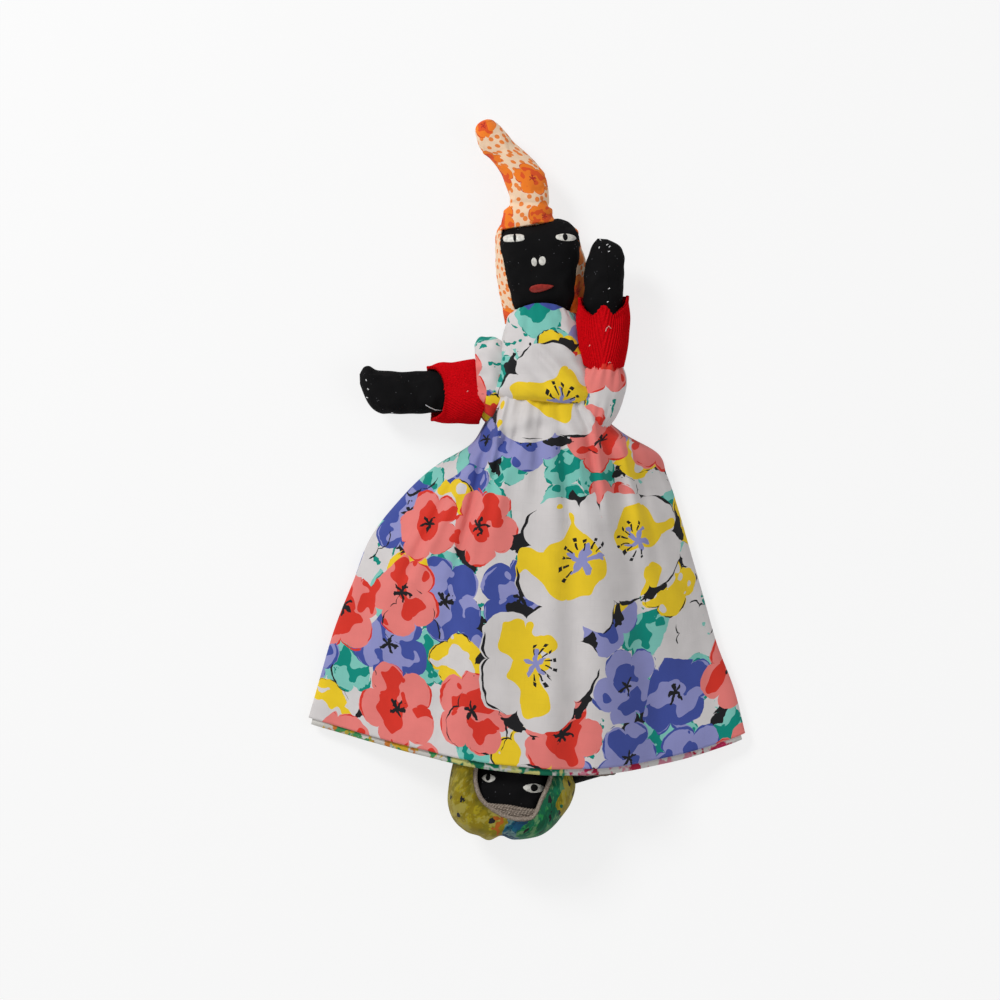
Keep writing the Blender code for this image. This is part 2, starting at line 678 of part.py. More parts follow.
def make_upper_body():
    cotton = material("body_cotton", BLACK_COTTON)
    length = NECK_Y - WAIST_Y - NECK_GAP
    drift = (NECK_X - WAIST_X, NECK_Z - WAIST_Z)
    size = (length, UPPER_TORSO_HALF_WIDTH, UPPER_TORSO_HALF_DEPTH)
    stuffed_form("upper_torso", UPPER_TORSO_PROFILE, size, cotton, placed(WAIST_X, WAIST_Y, WAIST_Z),
                 drift=drift)
    start = WAIST_Y + BODICE_RIM_DROP
    bodice_size = (NECK_Y + BODICE_NECK_RISE - start, BODICE_HALF_WIDTH, BODICE_HALF_DEPTH)
    centre = (WAIST_X, WAIST_Z)
    outer = wall_rings(BODICE_PROFILE, bodice_size, start, centre, drift)
    inner = wall_rings(BODICE_PROFILE, bodice_size, start, centre, drift, CLOTH)
    bodice = add_object("upper_bodice", tube(outer, inner), material("dress_print", PRINT_WHITE))
    grown = wall_rings(BODICE_PROFILE, bodice_size, start, centre, drift, -GAP)
    right_cap = (-TAB_RADIUS - CAP_TUCK, TAB_RADIUS + CUFF_START - GAP, CAP_HALF_WIDTH)
    left_cap = (-LEFT_CAP_DROP, TAB_RADIUS + RAISED_CUFF_START - GAP, LEFT_CAP_HALF_WIDTH)
    for side, sign, turn, arm_z, arm_length, shares, cuff_start, cap_size in (
            ("right", -1, RIGHT_ARM_ANGLE, ARM_Z, ARM_LENGTH, ARM_PROFILE, CUFF_START, right_cap),
            ("left", 1, LEFT_ARM_ANGLE, RAISED_ARM_Z, RAISED_ARM_LENGTH, RAISED_ARM_PROFILE,
             RAISED_CUFF_START, left_cap)):
        spread = UPPER_TORSO_HALF_WIDTH + GAP + TAB_RADIUS
        x = body_mid_x(SHOULDER_Y) + sign * spread
        hinge = placed(x, SHOULDER_Y, arm_z, -sign * math.pi / 2)
        armhole(bodice, f"upper_{side}_armhole", hinge)
        make_tab(f"upper_{side}_shoulder", placed(x, SHOULDER_Y, arm_z, turn))
        make_arm(f"upper_{side}", x, SHOULDER_Y, arm_z, turn, arm_length, shares,
                 material("red_knit", RED_KNIT), (cuff_start, CUFF_HALF_WIDTH, CUFF_HALF_DEPTH, CUFF_PINCH))
        cap = make_cap(f"upper_{side}_cap_sleeve", placed(x, SHOULDER_Y, arm_z, turn), *cap_size)
        cut_with(cap, add_object(f"upper_{side}_cap_seat", loft(grown), None))


def make_tab(name, place):
    """The flat stitched end of an arm, round about the hinge and square to the arm."""
    rings = []
    for i in range(7):
        turn = math.radians(-84 + 84 * i / 6)
        rings.append(oval(TAB_RADIUS * math.sin(turn), TAB_RADIUS * math.cos(turn),
                          TAB_HALF_DEPTH * (0.5 + 0.5 * math.cos(turn)), 3.0, 12))
    rings.append(oval(TAB_RADIUS * 0.7, TAB_RADIUS, TAB_HALF_DEPTH, 3.0, 12))
    rings.append(oval(TAB_RADIUS, TAB_RADIUS * 0.96, TAB_HALF_DEPTH * 0.8, 3.0, 12))
    add_object(name, loft(rings), material("black_cotton", BLACK_COTTON), place)


def cuff_rings(shares, length, cuff, inset):
    """Rings of a knit cuff, which follow the arm's middle line and flare towards the hand."""
    start, half_width, half_depth, pinch = cuff
    rings = []
    for along in (0.0, 0.08, 0.35, 0.7, 0.93, 1.0):
        y = start + CUFF_LENGTH * along
        shift = profile_at(shares, y / length)[2] * ARM_HALF_WIDTH
        flare = CUFF_FLARE * along**2 - pinch * (1 - along) ** 2
        rings.append(oval(y, half_width + flare - inset, half_depth - inset, 2.5, 20, shift,
                          -TAB_HALF_DEPTH))
    return rings


def make_arm(prefix, x, y, z, turn, length, shares, knit, cuff):
    """A stuffed arm with its hand, hinged at the top edge of its stitched end, and its cuff."""
    forward = Vector((-math.sin(turn), math.cos(turn), 0))
    root = Vector((x, y, z + TAB_HALF_DEPTH)) + forward * TAB_RADIUS
    place = placed(*root, turn)
    size = (length, ARM_HALF_WIDTH, ARM_HALF_DEPTH)
    cotton = material("black_cotton", BLACK_COTTON)
    stuffed_form(f"{prefix}_arm", shares, size, cotton, place, sink=TAB_HALF_DEPTH)
    outer = cuff_rings(shares, length, cuff, 0.0)
    inner = cuff_rings(shares, length, cuff, CUFF_WALL)
    add_object(f"{prefix}_cuff", tube(outer, inner), knit, place)
    return place


def make_cap(name, place, start, end, half_width):
    """A puffed cap sleeve round the tab, from the bodice to the cuff."""
    outer = []
    inner = []
    for along, wide, deep in CAP_SHARES:
        y = start + along * (end - start)
        for rings, inset in ((outer, 0.0), (inner, CLOTH)):
            rings.append(oval(y, wide * half_width - inset, deep * CAP_HALF_DEPTH - inset, 2.2, 20))
    return add_object(name, tube(outer, inner), material("dress_print", PRINT_WHITE), place)


CAP_SHARES = (
    (0.00, 0.60, 0.72),
    (0.28, 0.82, 0.90),
    (0.55, 1.00, 1.00),
    (0.82, 0.92, 0.98),
    (1.00, 0.76, 0.90),
)


def make_lower_body():
    cotton = material("body_cotton", BLACK_COTTON)
    length = WAIST_Y - LOWER_NECK_Y - NECK_GAP
    turned = placed(WAIST_X, WAIST_Y, WAIST_Z, math.pi)
    drift = (WAIST_X - LOWER_NECK_X, LOWER_TORSO_Z - WAIST_Z)
    size = (length, LOWER_TORSO_HALF_WIDTH, LOWER_TORSO_HALF_DEPTH)
    stuffed_form("lower_torso", LOWER_TORSO_PROFILE, size, cotton, turned, drift=drift)
    start = WAIST_Y - LOWER_BODICE_TOP_Y
    bodice_size = (length - LOWER_BODICE_NECK_DROP - start, LOWER_BODICE_HALF_WIDTH, LOWER_BODICE_HALF_DEPTH)
    mid = (drift[0] * start / length, drift[1] * start / length)
    rest = (drift[0] - mid[0], drift[1] - mid[1])
    outer = wall_rings(LOWER_BODICE_PROFILE, bodice_size, start, mid, rest)
    inner = wall_rings(LOWER_BODICE_PROFILE, bodice_size, start, mid, rest, CLOTH)
    bodice = add_object("lower_bodice", tube(outer, inner), material("lining_print", LINING_GREEN), turned)
    dents = []
    cuff = (LOWER_CUFF_START, LOWER_CUFF_HALF_WIDTH, LOWER_CUFF_HALF_DEPTH, 0.0)
    for side, sign, turn, z in (("right", 1, LOWER_RIGHT_ANGLE, LOWER_RAISED_ARM_Z),
                                ("left", -1, LOWER_LEFT_ANGLE, LOWER_ARM_Z)):
        spread = LOWER_TORSO_HALF_WIDTH + GAP + TAB_RADIUS
        x = body_mid_x(LOWER_SHOULDER_Y) + sign * spread
        armhole(bodice, f"lower_{side}_armhole", placed(x, LOWER_SHOULDER_Y, z, -sign * math.pi / 2))
        make_tab(f"lower_{side}_shoulder", placed(x, LOWER_SHOULDER_Y, z, turn))
        place = make_arm(f"lower_{side}", x, LOWER_SHOULDER_Y, z, turn, LOWER_ARM_LENGTH,
                         STRAIGHT_ARM_PROFILE, material("grey_knit", GREY_KNIT), cuff)
        dents.append(place)
    return dents[0]


def dent_bonnet(bonnet, place):
    """Press the raised lower arm and its cuff into the soft side of the bonnet."""
    size = (LOWER_ARM_LENGTH, ARM_HALF_WIDTH, ARM_HALF_DEPTH)
    cuff = (LOWER_CUFF_START, LOWER_CUFF_HALF_WIDTH, LOWER_CUFF_HALF_DEPTH, 0.0)
    arm = form_rings(STRAIGHT_ARM_PROFILE, size, -DENT_GAP, sink=TAB_HALF_DEPTH)
    cut_with(bonnet, add_object("arm_dent", loft(arm), None, place))
    knit = cuff_rings(STRAIGHT_ARM_PROFILE, LOWER_ARM_LENGTH, cuff, -DENT_GAP)
    cut_with(bonnet, add_object("cuff_dent", loft(knit), None, place))


make_skirt()
make_upper_body()
make_upper_head()
raised_arm_place = make_lower_body()
dent_bonnet(make_lower_head(), raised_arm_place)
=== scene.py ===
# %% [markdown]
# # A rag doll with two heads and one skirt
# The doll is a topsy-turvy doll: two half dolls of black cotton share one body, and a
# reversible skirt hides whichever of them hangs head down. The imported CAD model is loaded
# first, and every cloth piece below is fitted around it.

# %% The frame
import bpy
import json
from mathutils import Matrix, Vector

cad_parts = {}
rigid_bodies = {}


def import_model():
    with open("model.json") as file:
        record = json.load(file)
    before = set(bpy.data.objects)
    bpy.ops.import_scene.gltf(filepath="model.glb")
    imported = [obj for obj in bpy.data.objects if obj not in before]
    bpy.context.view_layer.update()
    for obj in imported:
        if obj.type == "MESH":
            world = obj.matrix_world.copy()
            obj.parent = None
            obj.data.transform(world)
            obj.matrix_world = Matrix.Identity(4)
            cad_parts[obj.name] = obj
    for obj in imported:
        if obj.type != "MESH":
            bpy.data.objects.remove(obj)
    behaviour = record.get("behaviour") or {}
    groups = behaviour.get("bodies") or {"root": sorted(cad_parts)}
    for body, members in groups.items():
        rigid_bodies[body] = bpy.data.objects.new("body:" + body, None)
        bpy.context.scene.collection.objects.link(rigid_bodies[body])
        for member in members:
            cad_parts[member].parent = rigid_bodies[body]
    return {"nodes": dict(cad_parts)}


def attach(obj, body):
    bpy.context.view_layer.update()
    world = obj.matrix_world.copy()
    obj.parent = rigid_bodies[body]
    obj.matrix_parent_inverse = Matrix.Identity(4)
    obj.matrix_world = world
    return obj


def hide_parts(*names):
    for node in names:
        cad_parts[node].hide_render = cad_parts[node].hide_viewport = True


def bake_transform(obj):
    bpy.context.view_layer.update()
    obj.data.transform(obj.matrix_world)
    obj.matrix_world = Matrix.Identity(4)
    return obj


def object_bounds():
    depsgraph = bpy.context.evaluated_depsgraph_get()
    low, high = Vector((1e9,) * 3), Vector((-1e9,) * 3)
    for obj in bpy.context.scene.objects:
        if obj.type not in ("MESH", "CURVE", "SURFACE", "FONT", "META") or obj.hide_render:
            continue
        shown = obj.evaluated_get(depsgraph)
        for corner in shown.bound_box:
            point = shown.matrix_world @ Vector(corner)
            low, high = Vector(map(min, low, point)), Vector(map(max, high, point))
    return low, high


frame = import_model()
cad_low, cad_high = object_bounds()
print("CAD box", tuple(cad_low), tuple(cad_high))

# %% Modules
import json
import math

import bmesh
import bpy
import numpy as np
from mathutils import Matrix, Vector, noise
from mathutils.bvhtree import BVHTree

TURN = 2 * math.pi
MM = 0.001

# %% [markdown]
# ## Camera, floor and light
# The doll lies on its back and was photographed from straight above, so the camera looks
# down with a long lens. It is turned by three degrees, as the doll lay in the picture. A
# large lamp on the upper left gives the soft shadows, and two weak ones lift the dark side.

# %% Camera
VIEW_WIDTH = 0.487
CAMERA_RISE = 1.6
CAMERA_TURN = 2.94
SUBJECT_X, SUBJECT_Y, SUBJECT_Z = -0.01333, -0.01092, 0.02
camera = bpy.data.objects.new("camera", bpy.data.cameras.new("camera"))
camera.data.lens = camera.data.sensor_width * CAMERA_RISE / VIEW_WIDTH
camera.location = (SUBJECT_X, SUBJECT_Y, SUBJECT_Z + CAMERA_RISE)
camera.rotation_euler = (0, 0, math.radians(CAMERA_TURN))
bpy.context.scene.collection.objects.link(camera)
bpy.context.scene.camera = camera
print("lens", round(camera.data.lens, 1), "mm")


# %% Lamps
def soft_lamp(name, place, size, power):
    """A square area lamp that looks at the doll."""
    data = bpy.data.lights.new(name, "AREA")
    data.size = size
    data.energy = power
    lamp = bpy.data.objects.new(name, data)
    lamp.location = place
    lamp.rotation_euler = (-Vector(place)).to_track_quat("-Z", "Y").to_euler()
    bpy.context.scene.collection.objects.link(lamp)


soft_lamp("key_light", (-1.1, 1.0, 1.1), 0.5, 19)
soft_lamp("fill_light", (1.2, -0.3, 1.2), 1.0, 4)
soft_lamp("low_light", (-0.3, -1.4, 0.8), 0.8, 3)
world = bpy.data.worlds.new("studio")
world.use_nodes = True
world.node_tree.nodes["Background"].inputs["Color"].default_value = (1, 1, 1, 1)
bpy.context.scene.world = world
bpy.context.scene.view_settings.view_transform = "Standard"

# %% [markdown]
# ## Small helpers for shader nodes
# Every finish below is a tree of nodes. These helpers add a node, set its sockets from
# numbers or link them from other sockets, so that a whole effect reads as a few lines.


# %% Node helpers
def put(tree, kind, given=(), out=0, **settings):
    """Add a shader node, fill its inputs and return one of its outputs."""
    made = tree.nodes.new("ShaderNode" + kind)
    for name, value in settings.items():
        setattr(made, name, value)
    for key, value in dict(given).items():
        if isinstance(value, bpy.types.NodeSocket):
            tree.links.new(value, made.inputs[key])
        else:
            made.inputs[key].default_value = value
    return made.outputs[out]


def calc(tree, operation, *values):
    """A Math node."""
    return put(tree, "Math", dict(enumerate(values)), operation=operation)


def span(tree, value, low, high, to_low=0.0, to_high=1.0):
    """A Map Range node that is clamped at both ends."""
    given = {"Value": value, "From Min": low, "From Max": high, "To Min": to_low, "To Max": to_high}
    return put(tree, "MapRange", given)


def mixed(tree, share, first, second):
    """A colour mix of two colours or sockets."""
    made = tree.nodes.new("ShaderNodeMix")
    made.data_type = "RGBA"
    for key, value in ((0, share), (6, first), (7, second)):
        if isinstance(value, bpy.types.NodeSocket):
            tree.links.new(value, made.inputs[key])
        elif key:
            made.inputs[key].default_value = (*value, 1)
        else:
            made.inputs[key].default_value = value
    return made.outputs[2]


def fields(tree, vector, scale, detail=2.0, roughness=0.5, out=0):
    """A Noise texture."""
    given = {"Vector": vector, "Scale": scale, "Detail": detail, "Roughness": roughness}
    return put(tree, "TexNoise", given, out=out)


def scaled(tree, vector, factors):
    """A vector times three numbers."""
    return put(tree, "VectorMath", {0: vector, 1: factors}, operation="MULTIPLY")


def new_group(name, inputs, outputs):
    """A node group with named sockets. Returns its tree, its inputs and its output node."""
    tree = bpy.data.node_groups.new(name, "ShaderNodeTree")
    for label, kind, default in inputs:
        socket = tree.interface.new_socket(label, in_out="INPUT", socket_type="NodeSocket" + kind)
        if default is not None:
            socket.default_value = default
    for label, kind in outputs:
        tree.interface.new_socket(label, in_out="OUTPUT", socket_type="NodeSocket" + kind)
    inside = tree.nodes.new("NodeGroupInput").outputs
    outside = tree.nodes.new("NodeGroupOutput")
    return tree, inside, outside


def use_group(tree, group, given):
    """Place a node group and fill its inputs. Returns the node's outputs."""
    made = tree.nodes.new("ShaderNodeGroup")
    made.node_tree = group
    for key, value in given.items():
        if isinstance(value, bpy.types.NodeSocket):
            tree.links.new(value, made.inputs[key])
        else:
            made.inputs[key].default_value = value
    return made.outputs


def new_material(name, roughness, specular=0.3, sheen=0.0):
    """A material with one Principled shader. Returns the material, its tree and the shader."""
    made = bpy.data.materials.new(name)
    made.use_nodes = True
    tree = made.node_tree
    shader = tree.nodes["Principled BSDF"]
    shader.inputs["Roughness"].default_value = roughness
    shader.inputs["Specular IOR Level"].default_value = specular
    shader.inputs["Sheen Weight"].default_value = sheen
    return made, tree, shader


def relief(tree, shader, height, strength, distance):
    """A Bump node from a height to the shader's normal."""
    given = {"Height": height, "Strength": strength, "Distance": distance}
    tree.links.new(put(tree, "Bump", given), shader.inputs["Normal"])


# %% [markdown]
# ## Floor and background
# The ground in the picture is nearly white. A plain plane would come out grey, so the
# floor glows a little for the camera only, and the doll still gets no light from it. A
# Light Path node tells the camera's rays from the others. The background does the same.

# %% Floor
FLOOR_SIZE = 3
FLOOR_DROP = 0.0005
FLOOR_GREY = 0.93
FLOOR_GLOW = 0.75
floor_maker = bmesh.new()
bmesh.ops.create_grid(floor_maker, x_segments=1, y_segments=1, size=FLOOR_SIZE)
floor_mesh = bpy.data.meshes.new("floor")
floor_maker.to_mesh(floor_mesh)
floor_maker.free()
floor = bpy.data.objects.new("floor", floor_mesh)
floor.location.z = cad_low.z - FLOOR_DROP
bpy.context.scene.collection.objects.link(floor)
floor_paint, floor_tree, floor_shader = new_material("floor_paint", 0.9)
floor_shader.inputs["Base Color"].default_value = (FLOOR_GREY, FLOOR_GREY, FLOOR_GREY, 1)
seen = put(floor_tree, "LightPath")
glow = put(floor_tree, "Emission", {"Color": (1, 1, 1, 1), "Strength": 1.0})
share = calc(floor_tree, "MULTIPLY", seen, FLOOR_GLOW)
both = put(floor_tree, "MixShader", {0: share, 1: floor_shader.outputs[0], 2: glow})
floor_tree.links.new(both, floor_tree.nodes["Material Output"].inputs["Surface"])
floor.data.materials.append(floor_paint)
print("floor at", round(floor.location.z / MM, 2), "mm")

# %% Background
WORLD_STRENGTH = 0.34
sky = world.node_tree
seen = put(sky, "LightPath")
sky.links.new(calc(sky, "MULTIPLY_ADD", seen, 1 - WORLD_STRENGTH, WORLD_STRENGTH),
              sky.nodes["Background"].inputs["Strength"])

# %% [markdown]
# ## The weave
# Plain cotton shows crossing threads a third of a millimetre apart, and here and there a
# thicker thread, a slub. Two sines of the cloth's own coordinates make the threads, which
# is cheaper than two Wave textures, and two long, thin Noise textures make the slubs. The
# group puts out a height for the bump and a shade, and every cotton here uses it.

# %% Cotton weave group
weave, w_in, w_out = new_group(
    "cotton_weave",
    (("Cloth", "Vector", None), ("Threads", "Float", 3000.0)),
    (("Height", "Float"), ("Shade", "Float")))
cloth_at = put(weave, "VectorMath", {0: w_in["Cloth"], "Scale": w_in["Threads"]}, operation="SCALE")
across = put(weave, "SeparateXYZ", {0: cloth_at}, out=0)
along = put(weave, "SeparateXYZ", {0: cloth_at}, out=1)
warp = calc(weave, "SINE", calc(weave, "MULTIPLY", across, math.pi))
weft = calc(weave, "SINE", calc(weave, "MULTIPLY", along, math.pi))
threads = calc(weave, "MULTIPLY", warp, weft)
long_slub = fields(weave, scaled(weave, cloth_at, (1.1, 0.018, 0.0)), 1.0, 1.0)
cross_slub = fields(weave, scaled(weave, cloth_at, (0.018, 1.1, 0.0)), 1.0, 1.0)
slubs = calc(weave, "MAXIMUM", long_slub, cross_slub)
slubs = span(weave, slubs, 0.62, 0.80)
height = calc(weave, "MULTIPLY_ADD", slubs, 0.8, calc(weave, "MULTIPLY", threads, 0.3))
weave.links.new(height, w_out.inputs["Height"])
shade = calc(weave, "SUBTRACT", 1.0, calc(weave, "MULTIPLY", slubs, 0.07))
weave.links.new(shade, w_out.inputs["Shade"])
print("weave group", len(weave.nodes), "nodes")

# %% [markdown]
# ## Brush flowers
# The dress has a bright floral print with loose, brushed petals. One group draws one kind
# of flower: a Voronoi texture scatters the centres, the angle round each centre shapes
# the petals, and noise makes their edges look brushed. A picture of the cloth would be
# quicker, but a drawn print has no edge and can be given other sizes and colours.

# %% Brush flower group
flower, f_in, f_out = new_group(
    "brush_flower",
    (("Cloth", "Vector", None), ("Size", "Float", 0.03), ("Petals", "Float", 5.0),
     ("Reach", "Float", 0.42), ("Notch", "Float", 0.3), ("Rough", "Float", 0.12),
     ("Presence", "Float", 0.6), ("Stretch", "Float", 1.0), ("Pen", "Float", 0.012)),
    (("Petal", "Float"), ("Inner", "Float"), ("Core", "Float"), ("Outline", "Float"),
     ("Accent", "Float"),
     ("Stamen", "Float"), ("Pick", "Float")))
inverse = calc(flower, "DIVIDE", 1.0, f_in["Size"])
flat_at = put(flower, "VectorMath", {0: f_in["Cloth"], "Scale": inverse}, operation="SCALE")
wobble = fields(flower, flat_at, 2.6, 3.0, 0.6, out=1)
wobble = put(flower, "VectorMath", {0: wobble, 1: (0.5, 0.5, 0.5)}, operation="SUBTRACT")
wobble = put(flower, "VectorMath", {0: wobble, "Scale": f_in["Rough"]}, operation="SCALE")
moved = put(flower, "VectorMath", {0: flat_at, 1: wobble}, operation="ADD")
cells = {"Vector": moved, "Scale": 1.0, "Randomness": 0.72}
cell_colour = put(flower, "TexVoronoi", cells, out=1, voronoi_dimensions="2D")
cell_node = cell_colour.node
offset = put(flower, "VectorMath", {0: moved, 1: cell_node.outputs["Position"]},
             operation="SUBTRACT")
chance = put(flower, "SeparateColor", {0: cell_colour})
chance_node = chance.node
spin = calc(flower, "MULTIPLY", chance, TURN)
turned = put(flower, "VectorRotate", {"Vector": offset, "Angle": spin}, rotation_type="Z_AXIS")
stretched = put(flower, "CombineXYZ", {0: f_in["Stretch"], 1: 1.0, 2: 0.0})
turned = put(flower, "VectorMath", {0: turned, 1: stretched}, operation="MULTIPLY")
part_x = put(flower, "SeparateXYZ", {0: turned}, out=0)
part_y = part_x.node.outputs[1]
angle = calc(flower, "ARCTAN2", part_y, part_x)
away = put(flower, "VectorMath", {0: turned}, out=1, operation="LENGTH")
lobes = calc(flower, "ABSOLUTE", calc(flower, "COSINE", calc(
    flower, "MULTIPLY", angle, calc(flower, "MULTIPLY", f_in["Petals"], 0.5))))
lobes = calc(flower, "POWER", lobes, 0.55)
notched = calc(flower, "MULTIPLY_ADD", calc(flower, "SUBTRACT", lobes, 1.0), f_in["Notch"], 1.0)
vary = calc(flower, "MULTIPLY_ADD", chance_node.outputs[2], 0.25, 0.80)
full = calc(flower, "MULTIPLY", f_in["Reach"], vary)
edge = calc(flower, "MULTIPLY", full, notched)
there = calc(flower, "LESS_THAN", chance_node.outputs[1], f_in["Presence"])
petal = calc(flower, "MULTIPLY", there, calc(flower, "LESS_THAN", away, edge))
brush = fields(flower, flat_at, 3.4, 1.0, 0.5)
inner_edge = calc(flower, "MULTIPLY", edge, calc(flower, "MULTIPLY_ADD", brush, 3.2, -1.12))
inner = calc(flower, "MULTIPLY", petal, calc(flower, "LESS_THAN", away, inner_edge))

# %% [markdown]
# The heart of a flower is a ragged blot with a few rays. Big flowers get stamens, short
# strokes that end in dots. A pen line wanders along the petals and breaks off here and
# there, and torn dark accents fill some of the gaps between the petals.

# %% Heart, pen line and accents
grain = fields(flower, flat_at, 9.0, 2.0, 0.6)
rays = calc(flower, "POWER", calc(flower, "ABSOLUTE", calc(flower, "COSINE", calc(
    flower, "MULTIPLY_ADD", angle, 2.5, calc(flower, "MULTIPLY", grain, 4.0)))), 2.0)
core_edge = calc(flower, "MULTIPLY", edge, calc(
    flower, "MULTIPLY_ADD", calc(flower, "MULTIPLY", rays, grain), 0.38, 0.06))
core = calc(flower, "MULTIPLY", petal, calc(flower, "LESS_THAN", away, core_edge))
spokes = calc(flower, "ABSOLUTE", calc(flower, "COSINE", calc(
    flower, "MULTIPLY_ADD", angle, 6.5, calc(flower, "MULTIPLY", brush, 3.0))))
depth = calc(flower, "DIVIDE", away, edge)
stroke_band = calc(flower, "ABSOLUTE", calc(flower, "SUBTRACT", depth, 0.23))
stroke_band = calc(flower, "LESS_THAN", stroke_band, 0.06)
dot_band = calc(flower, "ABSOLUTE", calc(flower, "SUBTRACT", depth, 0.335))
dot_band = calc(flower, "LESS_THAN", dot_band, 0.028)
strokes = calc(flower, "MULTIPLY", stroke_band, calc(flower, "GREATER_THAN", spokes, 0.93))
dots = calc(flower, "MULTIPLY", dot_band, calc(flower, "GREATER_THAN", spokes, 0.86))
one_side = calc(flower, "GREATER_THAN", calc(flower, "COSINE", angle), -0.25)
stamen = calc(flower, "MULTIPLY", calc(flower, "MAXIMUM", strokes, dots), one_side)
stamen = calc(flower, "MULTIPLY", petal, stamen)
drift = span(flower, fields(flower, flat_at, 1.6, 1.0), 0.3, 0.7, 0.90, 1.06)
rim = calc(flower, "SUBTRACT", away, calc(flower, "MULTIPLY", edge, drift))
rim = calc(flower, "ABSOLUTE", rim)
pressure = span(flower, fields(flower, flat_at, 3.3, 2.0), 0.43, 0.60, -0.5, 1.0)
line = calc(flower, "LESS_THAN", rim, calc(flower, "MULTIPLY", pressure, f_in["Pen"]))
line = calc(flower, "MULTIPLY", there, line)
ragged = calc(flower, "MULTIPLY", full, calc(flower, "MULTIPLY_ADD", grain, 0.3, 0.86))
wedge = calc(flower, "MULTIPLY", calc(flower, "GREATER_THAN", away, edge),
             calc(flower, "LESS_THAN", away, ragged))
narrow = calc(flower, "LESS_THAN", lobes, calc(flower, "MULTIPLY", grain, 1.3))
wedge = calc(flower, "MULTIPLY", wedge, narrow)
accent = calc(flower, "MULTIPLY", calc(flower, "MULTIPLY", there, wedge), calc(
    flower, "GREATER_THAN", brush, 0.47))
for socket, label in ((petal, "Petal"), (inner, "Inner"), (core, "Core"), (line, "Outline"),
                      (accent, "Accent"), (stamen, "Stamen"), (chance_node.outputs[2], "Pick")):
    flower.links.new(socket, f_out.inputs[label])
print("flower group", len(flower.nodes), "nodes")

# %% [markdown]
# ## The dress print
# The print is white with leaves, and blue, yellow, coral and large white flowers on top of
# one another. Each layer places the flower group once more with its own size, number of
# petals and inks. The order matters, because a later layer hides those before it.

# %% Inks
WHITE_INK = (0.705, 0.672, 0.668)
YELLOW_INK = (0.89, 0.62, 0.02)
CORAL_INK = (0.85, 0.22, 0.20)
RED_INK = (0.72, 0.035, 0.02)
BLUE_INK = (0.055, 0.085, 0.36)
LILAC_INK = (0.29, 0.30, 0.60)
TEAL_INK = (0.0, 0.27, 0.21)
MINT_INK = (0.22, 0.60, 0.52)
BLACK_INK = (0.012, 0.012, 0.014)
SECOND_INK_FROM = 0.66

# %% Dress print group
dress_print, p_in, p_out = new_group(
    "dress_print_pattern", (("Cloth", "Vector", None),), (("Color", "Color"),))


def flowers(tree, colour, where, shift, given, layers):
    """Lay one kind of flower over a colour. Layers name the masks and their inks, in order.
    A second ink is for some of the flowers only."""
    moved_at = put(tree, "VectorMath", {0: where, 1: (*shift, 0)}, operation="ADD")
    masks = use_group(tree, flower, {"Cloth": moved_at, **given})
    for mask, ink, *other in layers:
        if other:
            ink = mixed(tree, calc(tree, "GREATER_THAN", masks["Pick"], SECOND_INK_FROM), ink,
                        other[0])
        colour = mixed(tree, masks[mask], colour, ink)
    return colour


# Layers: their shift on the cloth, the flower group's values and the inks of its masks
PRINT_LAYERS = (
    # Leaves, then thin sprigs and a few torn strokes
    ((0.011, 0.007),
     {"Size": 0.027, "Petals": 2.0, "Reach": 0.64, "Notch": 0.35, "Rough": 0.25,
      "Presence": 0.72, "Stretch": 1.35, "Pen": 0.03},
     (("Petal", MINT_INK), ("Inner", TEAL_INK), ("Outline", TEAL_INK))),
    ((0.047, 0.002),
     {"Size": 0.019, "Petals": 2.0, "Reach": 0.40, "Notch": 0.25, "Rough": 0.35,
      "Presence": 0.45, "Stretch": 0.7, "Pen": 0.06},
     (("Outline", TEAL_INK, MINT_INK),)),
    ((0.031, 0.017),
     {"Size": 0.026, "Petals": 3.0, "Reach": 0.50, "Notch": 0.55, "Rough": 0.45,
      "Presence": 0.22, "Stretch": 2.8},
     (("Petal", BLACK_INK),)),
    # Blue flowers
    ((0.004, 0.055),
     {"Size": 0.042, "Petals": 5.0, "Reach": 0.50, "Notch": 0.30, "Rough": 0.13,
      "Presence": 0.60, "Pen": 0.016},
     (("Petal", LILAC_INK, BLUE_INK), ("Inner", BLUE_INK, LILAC_INK),
      ("Outline", BLUE_INK, LILAC_INK), ("Core", BLACK_INK))),
    # Yellow flowers
    ((0.027, 0.021),
     {"Size": 0.036, "Petals": 4.0, "Reach": 0.48, "Notch": 0.26, "Rough": 0.20,
      "Presence": 0.34, "Pen": 0.018, "Stretch": 1.25},
     (("Petal", YELLOW_INK), ("Inner", RED_INK, WHITE_INK), ("Outline", BLACK_INK))),
    # Coral flowers
    ((0.021, 0.033),
     {"Size": 0.045, "Petals": 5.0, "Reach": 0.47, "Notch": 0.28, "Rough": 0.15,
      "Presence": 0.62, "Pen": 0.014},
     (("Petal", CORAL_INK), ("Inner", RED_INK), ("Outline", RED_INK), ("Core", BLACK_INK))),
    # Loose pen lines
    ((0.016, 0.049),
     {"Size": 0.037, "Petals": 3.0, "Reach": 0.42, "Notch": 0.30, "Rough": 0.2,
      "Presence": 0.36, "Pen": 0.013},
     (("Outline", BLACK_INK),)),
    # Large white flowers
    ((0.043, 0.012),
     {"Size": 0.076, "Petals": 5.0, "Reach": 0.49, "Notch": 0.24, "Rough": 0.17,
      "Presence": 0.55, "Pen": 0.0105},
     (("Petal", WHITE_INK), ("Inner", YELLOW_INK), ("Core", LILAC_INK), ("Accent", BLACK_INK),
      ("Outline", BLACK_INK), ("Stamen", BLACK_INK))),
)
ink = WHITE_INK
for shift, given, inks in PRINT_LAYERS:
    ink = flowers(dress_print, ink, p_in["Cloth"], shift, given, inks)
dress_print.links.new(ink, p_out.inputs["Color"])
print("print group", len(dress_print.nodes), "nodes")

